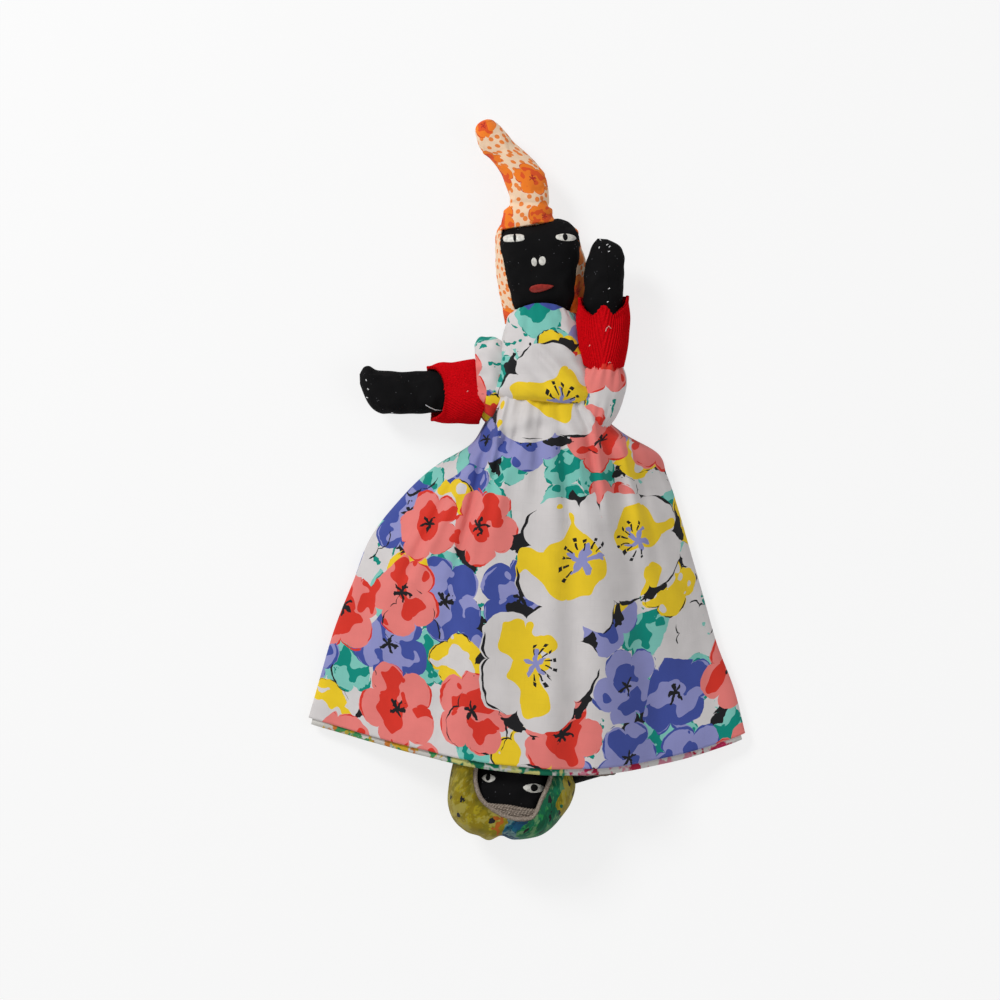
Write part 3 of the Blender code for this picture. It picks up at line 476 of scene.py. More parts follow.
# %% [markdown]
# ## Cottons
# All cloth here is plain-woven cotton, and only its print differs. So one function makes
# the material, with the weave, faint uneven shading and the bump, and gets the print as a
# function that returns a colour. The same print with another shift gives another cut.


# %% Cotton
def cloth_position(tree, shift=(0.0, 0.0)):
    """The piece's own cloth coordinates, in metres on the flat cloth."""
    where = put(tree, "UVMap", uv_map="cut")
    return put(tree, "VectorMath", {0: where, 1: (*shift, 0)}, operation="ADD")


THREAD_HEIGHT = 0.00012


def cotton(name, colour_of, shift=(0.0, 0.0), bump=0.35, specular=0.2, sheen=0.1):
    """A printed cotton. colour_of(tree, place) gives the colour of the print."""
    made, tree, shader = new_material(name, 0.85, specular, sheen)
    where = cloth_position(tree, shift)
    threads = use_group(tree, weave, {"Cloth": where})
    shade = calc(tree, "MULTIPLY", threads["Shade"], span(
        tree, fields(tree, where, 90.0, 2.0), 0.3, 0.7, 0.95, 1.03))
    grey = put(tree, "CombineColor", {0: shade, 1: shade, 2: shade})
    shaded = mixed(tree, 1.0, colour_of(tree, where), grey)
    shaded.node.blend_type = "MULTIPLY"
    tree.links.new(shaded, shader.inputs["Base Color"])
    relief(tree, shader, threads["Height"], bump, THREAD_HEIGHT)
    return made


def dress_colour(tree, where):
    return use_group(tree, dress_print, {"Cloth": where})["Color"]


dress_cotton = cotton("dress_cotton", dress_colour, (0.52, 0.31))
bodice_cotton = cotton("bodice_cotton", dress_colour, (-0.003, -0.073))
sleeve_cotton = cotton("sleeve_cotton", dress_colour, (-0.10, -0.067))

# %% [markdown]
# ## Lining, bonnet and kerchief prints
# The lining and the bonnet are scraps of small, busy prints that read as patches of colour.
# Noise with a hard edge makes such patches, and a few places across the doll decide which
# scrap is seen there. Each border wanders a little, as a cut and sewn edge does.


# %% Lining cotton
def mottled(inks, size, seed):
    """Colour function of a small mottled print: patches of inks that follow noise."""
    def colour_of(tree, where):
        at = put(tree, "VectorMath", {0: where, 1: (seed, seed, 0)}, operation="ADD")
        colour = inks[0]
        for i, ink_colour in enumerate(inks[1:]):
            placed_at = put(tree, "VectorMath", {0: at, 1: (0.13 * i, 0.07 * i, 0)},
                            operation="ADD")
            patch = fields(tree, placed_at, 1 / size, 3.0, 0.65)
            colour = mixed(tree, span(tree, patch, 0.52, 0.56), colour, ink_colour)
        return colour
    return colour_of


LINING_LEFT = -0.030
LINING_RIGHT = 0.030
left_lining = mottled(((0.62, 0.60, 0.55), (0.66, 0.42, 0.02), (0.62, 0.20, 0.03),
                       (0.05, 0.30, 0.10),
                       (0.66, 0.64, 0.60)), 0.010, 0.2)
mid_lining = mottled(((0.60, 0.60, 0.56), (0.005, 0.20, 0.09), (0.005, 0.22, 0.12),
                      (0.10, 0.40, 0.05),
                      (0.003, 0.15, 0.08), (0.62, 0.60, 0.20)), 0.014, 0.3)
right_lining = mottled(((0.64, 0.60, 0.60), (0.55, 0.02, 0.10), (0.62, 0.22, 0.30),
                        (0.42, 0.01, 0.05),
                        (0.66, 0.64, 0.62)), 0.012, 0.5)


def lining_colour(tree, where):
    """Small bright patches: warm on the left, green in the middle and crimson on the right."""
    place = put(tree, "TexCoord", out=3)
    x_at = put(tree, "SeparateXYZ", {0: place}, out=0)
    x_at = calc(tree, "ADD", x_at, span(tree, fields(tree, place, 60.0, 2.0), 0.3, 0.7, -0.012,
                                        0.012))
    colour = mixed(tree, calc(tree, "GREATER_THAN", x_at, LINING_LEFT), left_lining(tree, where),
                   mid_lining(tree, where))
    return mixed(tree, calc(tree, "GREATER_THAN", x_at, LINING_RIGHT), colour,
                 right_lining(tree, where))


lining_cotton = cotton("lining_cotton", lining_colour)

# %% Bonnet cotton
gold_patches = mottled(((0.27, 0.20, 0.004), (0.38, 0.30, 0.010), (0.21, 0.17, 0.006),
                        (0.36, 0.30, 0.05)),
                       0.007, 0.7)
green_patches = mottled(((0.004, 0.09, 0.04), (0.015, 0.20, 0.05), (0.003, 0.13, 0.06),
                         (0.10, 0.24, 0.10),
                         (0.003, 0.11, 0.05)), 0.006, 0.4)
blue_patches = mottled(((0.004, 0.06, 0.13), (0.006, 0.10, 0.16), (0.003, 0.035, 0.08),
                        (0.12, 0.22, 0.22)),
                       0.008, 0.9)
BONNET_SPLIT = -0.0035
BONNET_STRIP = 0.0235
BONNET_BLUE = 0.0052
BONNET_RUST = -0.0062
RUST_HALF_WIDTH = 0.0010


def bonnet_colour(tree, where):
    """Mustard cloth on one side of the bonnet, blue and then green on the other. A rust streak
    ends the mustard cloth, and a few black marks lie on both."""
    place = put(tree, "TexCoord", out=3)
    x_at = put(tree, "SeparateXYZ", {0: place}, out=0)
    x_at = calc(tree, "ADD", x_at, span(tree, fields(tree, place, 160.0, 2.0), 0.3, 0.7, -0.003,
                                        0.003))
    green = calc(tree, "MULTIPLY", calc(tree, "GREATER_THAN", x_at, BONNET_SPLIT),
                 calc(tree, "LESS_THAN", x_at, BONNET_STRIP))
    colour = mixed(tree, green, gold_patches(tree, where), green_patches(tree, where))
    blue = calc(tree, "MULTIPLY", green, calc(tree, "LESS_THAN", x_at, BONNET_BLUE))
    colour = mixed(tree, blue, colour, blue_patches(tree, where))
    rust = calc(tree, "ABSOLUTE", calc(tree, "SUBTRACT", x_at, BONNET_RUST))
    rust = calc(tree, "LESS_THAN", rust, RUST_HALF_WIDTH)
    colour = mixed(tree, rust, colour, (0.38, 0.10, 0.01))
    marks = put(tree, "TexVoronoi", {"Vector": where, "Scale": 75.0, "Randomness": 1.0},
                voronoi_dimensions="2D")
    torn = span(tree, fields(tree, where, 500.0, 1.0), 0.3, 0.7, 0.03, 0.16)
    return mixed(tree, calc(tree, "LESS_THAN", marks, torn), colour, BLACK_INK)


bonnet_cotton = cotton("bonnet_cotton", bonnet_colour)

# %% Kerchief cotton
CREAM = (0.97, 0.70, 0.48)


def kerchief_colour(tree, where):
    """Cream cloth with orange flowers and round dots."""
    dots = put(tree, "TexVoronoi", {"Vector": where, "Scale": 260.0, "Randomness": 0.8},
               voronoi_dimensions="2D")
    colour = mixed(tree, calc(tree, "LESS_THAN", dots, 0.30), CREAM, (0.92, 0.25, 0.05))
    return flowers(tree, colour, where, (0.01, 0.004),
                   {"Size": 0.017, "Petals": 5.0, "Reach": 0.50, "Notch": 0.28, "Rough": 0.12,
                    "Presence": 0.62},
                   (("Petal", (0.97, 0.23, 0.02)), ("Inner", (0.82, 0.10, 0.02)),
                    ("Outline", (0.60, 0.06, 0.02)), ("Core", (0.5, 0.03, 0.02))))


kerchief_cotton = cotton("kerchief_cotton", kerchief_colour)

# %% [markdown]
# ## Black cotton
# The heads and arms are of plain black cotton that has picked up lint. Small Voronoi cells
# make the specks, and a coarser noise leaves most of them out, so that they lie in drifts.


# %% Black cotton
def black_colour(tree, where):
    """Black cotton with grey lint specks."""
    specks = put(tree, "TexVoronoi", {"Vector": where, "Scale": 420.0, "Randomness": 1.0},
                 voronoi_dimensions="2D")
    few = fields(tree, where, 230.0, 1.0)
    lint = calc(tree, "MULTIPLY", calc(tree, "LESS_THAN", specks, 0.09),
                calc(tree, "GREATER_THAN", few, 0.62))
    haze = span(tree, fields(tree, where, 60.0, 3.0), 0.35, 0.75)
    colour = mixed(tree, haze, (0.003, 0.003, 0.0035), (0.007, 0.0065, 0.007))
    return mixed(tree, lint, colour, (0.10, 0.10, 0.11))


black_cotton = cotton("black_cotton", black_colour, bump=0.5, specular=0.12, sheen=0.0)

# %% [markdown]
# ## Cloth from a grid
# A tube or a pillow of cloth is a grid rolled up: the grid's columns run round the piece
# and its rows along it. Each vertex is moved to its place, and the UV map keeps how far
# it lies along the cloth in metres, so that a print runs on it without being stretched.


# %% Cloth helpers
COTTON_WALL = 0.0004
KERCHIEF_WALL = 0.0009
BONNET_WALL = 0.0006
KNIT_WALL = 0.0011


def rolled(points, front=0, closed=True):
    """A bmesh of a grid moved to points[row][column], with its lengths as the UV map."""
    rows, columns = points.shape[:2]
    maker = bmesh.new()
    bmesh.ops.create_grid(maker, x_segments=columns - 1, y_segments=rows - 1, size=0.5)
    round_steps = np.linalg.norm(np.diff(points, axis=1), axis=2)
    along_steps = np.linalg.norm(np.diff(points, axis=0), axis=2).mean(axis=1)
    across_at = np.concatenate([np.zeros((rows, 1)), np.cumsum(round_steps, axis=1)], axis=1)
    across_at -= across_at[:, front:front + 1]
    along_at = np.concatenate([[0], np.cumsum(along_steps)])
    layer = maker.loops.layers.uv.new("cut")
    spot = {}
    for vertex in maker.verts:
        column = round((vertex.co.x + 0.5) * (columns - 1))
        row = round((vertex.co.y + 0.5) * (rows - 1))
        spot[vertex.index] = (row, column)
    for face in maker.faces:
        for loop in face.loops:
            row, column = spot[loop.vert.index]
            loop[layer].uv = (across_at[row, column], along_at[row])
    for vertex in maker.verts:
        vertex.co = points[spot[vertex.index]]
    if closed:
        bmesh.ops.remove_doubles(maker, verts=maker.verts, dist=0.00001)
    return maker


def piece(name, maker, body, finish, replaced=(), wall=0.0, levels=0):
    """An object from a bmesh that stands for its CAD nodes."""
    bmesh.ops.recalc_face_normals(maker, faces=maker.faces)
    mesh = bpy.data.meshes.new(name)
    maker.to_mesh(mesh)
    maker.free()
    mesh.shade_smooth()
    mesh.materials.append(finish)
    made = bpy.data.objects.new(name, mesh)
    bpy.context.scene.collection.objects.link(made)
    if wall:
        thick = made.modifiers.new("cloth_wall", "SOLIDIFY")
        thick.thickness = wall
        thick.offset = -1
        thick.use_even_offset = False
    if levels:
        finer = made.modifiers.new("finer", "SUBSURF")
        finer.levels = levels
        finer.render_levels = levels
    if body:
        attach(made, body)
    if replaced:
        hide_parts(*replaced)
    print(name, len(mesh.polygons), "faces")
    return made


def eased(table, share):
    """A row of a table of shares, with smooth curves between its rows."""
    table = np.array(table)
    keys = table[:, 0]
    slopes = np.gradient(table[:, 1:], keys, axis=0)
    i = int(np.clip(np.searchsorted(keys, share) - 1, 0, len(keys) - 2))
    step = keys[i + 1] - keys[i]
    t = (share - keys[i]) / step
    t2, t3 = t * t, t * t * t
    return ((2 * t3 - 3 * t2 + 1) * table[i, 1:] + (t3 - 2 * t2 + t) * step * slopes[i]
            + (3 * t2 - 2 * t3) * table[i + 1, 1:] + (t3 - t2) * step * slopes[i + 1])


def signed_power(value, power):
    return math.copysign(abs(value) ** power, value)


def ruffled(point, scale, seed=0.0):
    """Smooth noise at a point, from -1 to 1."""
    return noise.noise(Vector(point) * scale + Vector((seed, seed, seed)))


def in_frame(points, place):
    """Points of a piece's own frame moved to the row frame."""
    flat = points.reshape(-1, 3)
    turned = flat @ np.array(place.to_3x3()).T + np.array(place.translation)
    return turned.reshape(points.shape)


def placed(x, y, z, turn=0.0):
    return Matrix.Translation((x, y, z)) @ Matrix.Rotation(turn, 4, "Z")


# %% [markdown]
# ## The skirt
# The skirt is a gathered tube of printed cotton that lies flat at the back and drapes over
# the hidden doll in front. Its outline follows the photograph. The gathers are small
# waves at the waist, a table of creases runs down from them, and they end in a few broad
# folds. A grid that is rolled up keeps the cloth's lengths, so the print isn't stretched.

# %% Skirt shape
WAIST = (0.006, 0.0370)
SKIRT_LENGTH = 0.1579
SKIRT_TUCK = 0.022
SKIRT_BOW = 0.0181
SKIRT_SWAY = 0.0049
SKIRT_TILT = 0.0017
SKIRT_HALF = 0.105
SKIRT_CREST = 0.0375
SKIRT_TABLE = (
    (0.00, 0.240, 0.245, 0.80, 0.0110, 2.00),
    (0.04, 0.258, 0.300, 0.83, 0.0107, 1.70),
    (0.08, 0.285, 0.385, 0.86, 0.0097, 1.20),
    (0.13, 0.330, 0.534, 0.89, 0.0083, 0.95),
    (0.20, 0.484, 0.590, 0.91, 0.0064, 0.84),
    (0.33, 0.672, 0.665, 0.97, 0.0058, 0.90),
    (0.43, 0.776, 0.716, 0.99, 0.0056, 0.90),
    (0.57, 0.850, 0.788, 1.00, 0.0056, 0.84),
    (0.72, 0.927, 0.864, 1.00, 0.0056, 0.74),
    (0.87, 0.982, 0.961, 1.00, 0.0056, 0.62),
    (1.00, 1.028, 1.020, 1.00, 0.0056, 0.62),
)
BROAD_FOLDS = (
    (-0.76, 0.080, 0.8), (-0.44, 0.060, -1.0), (-0.30, 0.075, 1.0), (-0.04, 0.080, -0.8),
    (0.10, 0.060, 0.6), (0.22, 0.060, -0.7), (0.38, 0.100, 1.0), (0.60, 0.070, -0.9),
    (0.76, 0.080, 0.7),
)
CREASE_STRENGTH = 1.7
FOLD_HEIGHT = 0.0021
FRONT_GATHER = 0.0003
BACK_GATHER = 0.0006
FRONT_RUMPLE = 0.0009
LINING_INSET = 0.0014
LINING_LONGER = 0.0032
# Creases: start, end, half width and height, in millimetres
CREASES = (
    ((-16, 22), (-26, -40), 2.6, 2.6),
    ((-20, 20), (-31, -34), 2.2, -2.2),
    ((-30, 4), (-50, -44), 3.2, 1.9),
    ((-35, 0), (-57, -48), 2.6, -1.7),
    ((-10, 20), (-14, -16), 2.1, 1.1),
    ((-14, 18), (-20, -8), 1.9, -1.0),
    ((3, 18), (5, -8), 2.2, -0.9),
    ((10, 18), (12, -10), 2.2, 0.9),
    ((16, 16), (20, -16), 2.2, -1.2),
    ((22, 14), (27, -10), 2.2, 1.2),
    ((28, 20), (33, -2), 2.0, -1.3),
    ((-21, 14), (4, 25), 3.4, -0.7),
    ((-20, 20), (3, 31), 3.2, 0.6),
    ((4, 25), (30, 11), 3.4, -0.7),
    ((6, 31), (30, 17), 3.2, 0.6),
    ((30, 30), (38, -12), 2.4, 1.9),
    ((44, 20), (55, -16), 2.8, 1.5),
    ((52, 10), (66, -40), 3.4, -1.4),
    ((-60, -40), (-76, -96), 5.0, 1.1),
    ((74, -44), (92, -104), 5.5, 1.2),
)


def crease_height(x, y):
    """Sum of the creases at a place on the skirt's front."""
    total = 0.0
    for (x0, y0), (x1, y1), width, rise in CREASES:
        run = Vector(((x1 - x0), (y1 - y0)))
        spot = Vector((x / MM - x0, y / MM - y0))
        t = spot.dot(run) / run.length_squared
        away = (spot - run * t).length / width
        if -0.3 < t < 1.4 and away < 3:
            fade = min(1, max(0, (t + 0.3) / 0.3)) * min(1, max(0, (1.4 - t) / 0.8))
            total += rise * fade * math.exp(-away * away)
    return total * CREASE_STRENGTH * MM


def skirt_points(inset, columns, rows, extra=0.0):
    """The skirt as rows of points from the waist to the hem. Column 0 is the centre back."""
    points = np.zeros((rows, columns + 1, 3))
    for r in range(rows):
        share = (1 + SKIRT_TUCK) * r / (rows - 1) - SKIRT_TUCK
        left, right, high, edge, spread = eased(SKIRT_TABLE, min(1, max(0, share)))
        gather = math.exp(-((abs(share) / 0.16) ** 1.5))
        crest = SKIRT_CREST * high
        for c in range(columns + 1):
            turn = TURN * c / columns - math.pi / 2
            side = signed_power(math.cos(turn), 0.72)
            width = (left if side < 0 else right) * SKIRT_HALF
            x = side * (width - inset)
            y = WAIST[1] - share * (SKIRT_LENGTH - SKIRT_TILT * side)
            y -= share * (SKIRT_BOW + SKIRT_SWAY * side) * (1 - side * side) + extra * share
            near = 1 - abs(side) ** (6 + 900 * max(0, edge - 0.0056))
            if math.sin(turn) > 0:
                dome = math.exp(-((abs(side) / spread) ** 2.6))
                folds = sum(h * math.exp(-(((side - at) / w) ** 2)) for at, w, h in BROAD_FOLDS)
                z = edge + (crest - edge) * dome * near
                z += FOLD_HEIGHT * min(1, 0.35 + 2 * share) * folds * near
                wave = math.sin(side * 30 + 4 * ruffled((side * 3, share * 2, 0), 1.0))
                z += near * gather * FRONT_GATHER * wave
                z += near * crease_height(WAIST[0] + x, y)
                z += near * FRONT_RUMPLE * ruffled((x, y * 0.5, 0.3), 70.0, 3.0)
                z -= inset * near
            else:
                z = inset + 0.0004 * near * (1 + ruffled((x, y, 0), 60.0))
                z += near * gather * BACK_GATHER * (1 + math.sin(side * 52))
            if near < 0.35:
                ease = max(0.0, near / 0.35)
                mid = edge * 0.5
                z = mid + (z - mid) * math.sqrt(ease * (2 - ease))
            points[r, c] = (WAIST[0] + x, y, max(z, inset))
    return points


# %% Skirt
shell = skirt_points(0.0, 300, 150)
skirt = piece("skirt_cloth", rolled(shell, front=150), "root", dress_cotton, ("skirt",),
              wall=COTTON_WALL)
inner_shell = skirt_points(LINING_INSET, 240, 90, extra=LINING_LONGER)
lining = piece("skirt_lining_cloth", rolled(inner_shell, front=120), "root", lining_cotton,
               ("skirt_lining",),
               wall=COTTON_WALL)

# %% [markdown]
# ## Stuffed heads and arms
# Each head, torso and arm is a flat bag of black cotton, sewn round its edge, turned and
# stuffed until it is firm. A rolled grid with a rounded, nearly square section gives that
# form, and its last row closes on the seam. A short cloth simulation then blows each bag
# up from inside, so that its cloth swells and puckers as stuffing makes it.

# %% Stuffed form
START_INSET = 0.0005
HEAD_SWELL = 0.0007
ARM_SWELL = 0.0008
PEAK_SWELL = 0.0010
SIM_FRAMES = 16
HEAD_TABLE = (
    (0.00, 0.60, 0.30, 0.0), (0.07, 0.71, 0.40, 0.0), (0.16, 0.79, 0.64, 0.0),
    (0.30, 0.84, 0.88, 0.0),
    (0.52, 0.92, 1.00, 0.0), (0.76, 0.99, 0.96, 0.0), (0.88, 1.00, 0.78, 0.0),
    (0.94, 0.98, 0.56, 0.0),
    (0.98, 0.90, 0.34, 0.0), (1.00, 0.78, 0.14, 0.0),
)
HEAD_SIZE = (0.0465, 0.0195, 0.0118)
ARM_HALF_WIDTH = 0.0117
ARM_HALF_DEPTH = 0.0078


def pillow(table, size, place, power=2.4, sink=0.0, slant=0.0, bump=0.0, corner=0.0, columns=64,
           rows=46,
           seed=0.0, rumple=0.00025):
    """A stuffed bag as rows of points. Its first and last rows close on a flat seam. A corner
    rounds off the two upper ends."""
    length, half_width, half_depth = size
    points = np.zeros((rows, columns + 1, 3))
    for r in range(rows):
        share = 0.5 - 0.5 * math.cos(math.pi * r / (rows - 1))
        wide, deep, shift = eased(table, share)
        deep *= 0.0 if r in (0, rows - 1) else 1.0
        for c in range(columns + 1):
            turn = TURN * (c % columns) / columns - math.pi / 2
            side = signed_power(math.cos(turn), 2 / power)
            x = wide * half_width * side + shift * half_width
            z = deep * half_depth * signed_power(math.sin(turn), 2 / power)
            z *= 1 + 0.05 * ruffled((x, share * length, 0), 220.0, seed)
            x += 2 * rumple * ruffled((x, share * length, z), 160.0, seed + 5)
            z += rumple * ruffled((x, share * length, z), 260.0, seed + 9)
            crown = bump * share**10 * math.exp(-(((x / half_width - 0.45) / 0.28) ** 2))
            crown -= corner * share**8 * abs(x / half_width) ** 5
            points[r, c] = (x, share * length + slant * side + crown, z - sink)
    return in_frame(points, place)


def stuffed(made, cap):
    """Blow a bag up with a cloth simulation. Each vertex stays within a cap of its place."""
    mesh = made.data
    before = np.array([v.co for v in mesh.vertices])
    for vertex, inward in zip(mesh.vertices, [v.normal * START_INSET for v in mesh.vertices]):
        vertex.co -= inward
    cloth = made.modifiers.new("stuffing", "CLOTH")
    cloth.settings.quality = 4
    cloth.settings.mass = 0.05
    cloth.settings.tension_stiffness = 6
    cloth.settings.compression_stiffness = 6
    cloth.settings.shear_stiffness = 2
    cloth.settings.bending_stiffness = 0.05
    cloth.settings.shrink_min = -0.04
    cloth.settings.use_pressure = True
    cloth.settings.uniform_pressure_force = 30
    cloth.settings.effector_weights.gravity = 0
    cloth.point_cache.frame_start = 1
    cloth.point_cache.frame_end = SIM_FRAMES
    for frame_number in range(1, SIM_FRAMES + 1):
        bpy.context.scene.frame_set(frame_number)
    graph = bpy.context.evaluated_depsgraph_get()
    after = np.array([v.co for v in made.evaluated_get(graph).data.vertices])
    made.modifiers.remove(cloth)
    bpy.context.scene.frame_set(1)
    step = after - before
    reach = np.linalg.norm(step, axis=1, keepdims=True)
    step *= np.minimum(1, cap / np.maximum(reach, 1e-9))
    for vertex, spot in zip(mesh.vertices, before + step):
        vertex.co = spot
    print("stuffed", made.name, "moved", round(float(reach.mean() / MM), 2),
          "mm before the cap")
    finer = made.modifiers.new("finer", "SUBSURF")
    finer.levels = 1
    finer.render_levels = 1

# %% [markdown]
# ## Paint, thread and yarn
# Paint lies on the cloth as flattened balls, and thread and yarn as round lines. Both are
# laid on the finished cloth: a search tree of its surface gives the height of each point.


# %% Paint, thread and yarn
def surface_of(made):
    """A search tree of a finished piece, to lay paint and thread on it."""
    graph = bpy.context.evaluated_depsgraph_get()
    return BVHTree.FromObject(made, graph)


def on_front(tree, place, x, y):
    """The point of a piece's front above a place in its own frame, and the normal there."""
    top = place @ Vector((x, y, 0))
    spot, normal, _, _ = tree.ray_cast(Vector((top.x, top.y, 0.3)), Vector((0, 0, -1)))
    return (spot, normal) if spot else (Vector(top), Vector((0, 0, 1)))


def dab(name, tree, place, centre, half_size, finish, body, node, slot, turn=0.0, point=1.0,
        taper=0.0,
        thick=0.0005, sunk=0.00025):
    """A raised dab of paint: a ball flattened on to the cloth."""
    maker = bmesh.new()
    bmesh.ops.create_uvsphere(maker, u_segments=40, v_segments=16, radius=1)
    layer = maker.loops.layers.uv.new("cut")
    for vertex in maker.verts:
        ball = vertex.co.copy()
        reach = math.hypot(ball.x, ball.y)
        heading = math.atan2(ball.y, ball.x)
        along = half_size[0] * reach * signed_power(math.cos(heading), point)
        upward = half_size[1] * reach * signed_power(math.sin(heading), point)
        upward *= 1 - taper * along / half_size[0]
        wave = 1 + 0.05 * ruffled((along, upward, centre[0]), 900.0)
        x = centre[0] + wave * (along * math.cos(turn) - upward * math.sin(turn))
        y = centre[1] + wave * (along * math.sin(turn) + upward * math.cos(turn))
        spot, normal = on_front(tree, place, x, y)
        lift = thick * max(0.0, ball.z) ** 0.6 if ball.z > 0 else -sunk * abs(ball.z)
        vertex.co = spot + normal * lift
    for face in maker.faces:
        for loop in face.loops:
            loop[layer].uv = (loop.vert.co.x, loop.vert.co.y)
    return piece(name, maker, body, finish, node)


def strand(name, lines, radius, finish, body, replaced=(), plies=1, twist=0.004,
           smooth=2):
    """Thread or yarn along lines of points. With two plies the strands turn round each other."""
    data = bpy.data.curves.new(name, "CURVE")
    data.dimensions = "3D"
    data.bevel_depth = radius if plies == 1 else radius * 0.62
    data.bevel_resolution = smooth
    data.use_fill_caps = True
    for line in lines:
        path = [Vector(p) for p in line]
        for ply in range(plies):
            spline = data.splines.new("POLY")
            spline.points.add(len(path) - 1)
            travelled = 0.0
            for i, spot in enumerate(path):
                if i:
                    travelled += (spot - path[i - 1]).length
                ahead = (path[min(i + 1, len(path) - 1)] - path[max(i - 1, 0)]).normalized()
                side = ahead.cross(Vector((0, 0, 1))).normalized()
                up = side.cross(ahead)
                angle_here = TURN * (travelled / twist + ply / plies)
                swing = radius * 0.5 if plies > 1 else 0.0
                spot = spot + (side * math.cos(angle_here) + up * math.sin(angle_here)) * swing
                spline.points[i].co = (*spot, 1)
    holder = bpy.data.objects.new(name + "_line", data)
    bpy.context.scene.collection.objects.link(holder)
    graph = bpy.context.evaluated_depsgraph_get()
    mesh = bpy.data.meshes.new_from_object(holder.evaluated_get(graph))
    bpy.data.objects.remove(holder)
    maker = bmesh.new()
    maker.from_mesh(mesh)
    return piece(name, maker, body, finish, replaced)


def paint(name, colour, roughness, coat, specular=0.4):
    """Raised fabric paint: a slightly uneven gloss."""
    made, tree, shader = new_material(name, roughness, specular)
    shader.inputs["Coat Weight"].default_value = coat
    shader.inputs["Coat Roughness"].default_value = 0.15
    where = put(tree, "TexCoord", out=3)
    patch = fields(tree, where, 700.0, 2.0)
    darker = tuple(0.72 * c for c in colour)
    tree.links.new(mixed(tree, span(tree, patch, 0.35, 0.6), darker, colour),
                   shader.inputs["Base Color"])
    relief(tree, shader, patch, 0.4, 0.0003)
    return made


def yarn_finish(name, dark, light, scale=1400.0):
    """Yarn or knit: uneven fibres in two tones."""
    made, tree, shader = new_material(name, 0.9, 0.08)
    where = put(tree, "TexCoord", out=3)
    fibres = fields(tree, where, scale, 3.0, 0.65)
    tree.links.new(mixed(tree, span(tree, fibres, 0.3, 0.7), dark, light),
                   shader.inputs["Base Color"])
    relief(tree, shader, fibres, 0.6, 0.0003)
    return made


white_paint = paint("white_paint", (0.80, 0.78, 0.72), 0.5, 0.1)
black_paint = paint("black_paint", (0.006, 0.006, 0.006), 0.7, 0.0, 0.08)
red_paint = paint("red_paint", (0.36, 0.030, 0.022), 0.35, 0.15, 0.2)
red_knit = yarn_finish("red_knit", (0.46, 0.0005, 0.003), (0.78, 0.002, 0.008))
grey_knit = yarn_finish("grey_knit", (0.20, 0.15, 0.12), (0.46, 0.38, 0.32))
grey_yarn = yarn_finish("grey_yarn", (0.17, 0.13, 0.105), (0.44, 0.37, 0.31))
white_thread = yarn_finish("white_thread", (0.5, 0.5, 0.5), (0.85, 0.85, 0.85))
red_thread = yarn_finish("red_thread", (0.75, 0.25, 0.22), (0.95, 0.60, 0.55))
black_thread = yarn_finish("black_thread", (0.003, 0.003, 0.003), (0.010, 0.010, 0.010))

# %% [markdown]
# ## The upper head and its face
# The upper head is a trapezoid bag. Its features are dabs of raised paint, each a ball
# pressed flat on the cloth, so that it has a rounded edge that catches the light.

# %% Upper head
UPPER_HEAD_AT = placed(0.0036, 0.079, 0.0133, math.radians(6.7))
UPPER_HEAD_SIZE = (0.0468, 0.0202, 0.0118)
head_points = pillow(HEAD_TABLE, UPPER_HEAD_SIZE, UPPER_HEAD_AT, 3.0, seed=1.0, slant=0.0004,
                     bump=0.0014,
                     corner=0.0062)
upper_head = piece("upper_head_bag", rolled(head_points, front=32), "upper_head_body", black_cotton,
                   ("upper_head", "upper_head_stuffing"))
stuffed(upper_head, HEAD_SWELL)
upper_face = surface_of(upper_head)


# %% Upper face
def mm(*values):
    return tuple(v * MM for v in values)


def face_dab(prefix, part, tree, place, centre, half_size, finish, slot, **shape):
    body = prefix + "_head_body"
    return dab(f"{prefix}_{part}_paint", tree, place, mm(*centre), mm(*half_size), finish, body,
               (f"{prefix}_{part}",), slot, **shape)


for part, centre, half_size, shape in (
        ("right_eye", (-12.3, 39.3), (5.2, 1.9), {"turn": -0.03, "point": 0.62}),
        ("left_eye", (13.0, 37.9), (5.0, 1.8), {"turn": -0.10, "point": 0.95}),
        ("right_nostril", (-3.2, 26.8), (1.35, 2.1), {"turn": 0.05}),
        ("left_nostril", (0.8, 27.1), (1.7, 2.2), {"turn": -0.1})):
    face_dab("upper", part, upper_face, UPPER_HEAD_AT, centre, half_size, white_paint,
             "white_paint", **shape)
for part, centre, half_size in (("right_pupil", (-11.7, 39.3), (0.85, 2.0)),
                                ("left_pupil", (12.6, 38.0), (1.3, 1.75))):
    face_dab("upper", part, upper_face, UPPER_HEAD_AT, centre, half_size, black_paint,
             "black_paint", thick=0.0008)
face_dab("upper", "lips", upper_face, UPPER_HEAD_AT, (-0.4, 14.2), (5.9, 1.75), red_paint,
         "red_paint", turn=0.08,
         taper=0.45, thick=0.0009)

# %% [markdown]
# ## The kerchief
# A printed kerchief wraps the back of the upper head. Its sides show past the jaw, and its
# gathered end stands up from the crown as a tall, stuffed, bent peak. The peak's outline
# was read off the photograph as pairs of points across it.

# %% Kerchief
# Height on the head, and how far the cloth stands out on either side, in millimetres
KERCHIEF_SIDES = (
    (-1.5, 18.4, 18.6), (6.0, 19.2, 19.4), (18.0, 20.6, 20.7), (28.0, 20.9, 21.3),
    (33.0, 20.8, 20.0),
    (39.0, 20.4, 18.9), (44.0, 19.4, 18.2), (46.4, 17.6, 16.2),
)
STRIP_COLUMNS = 12


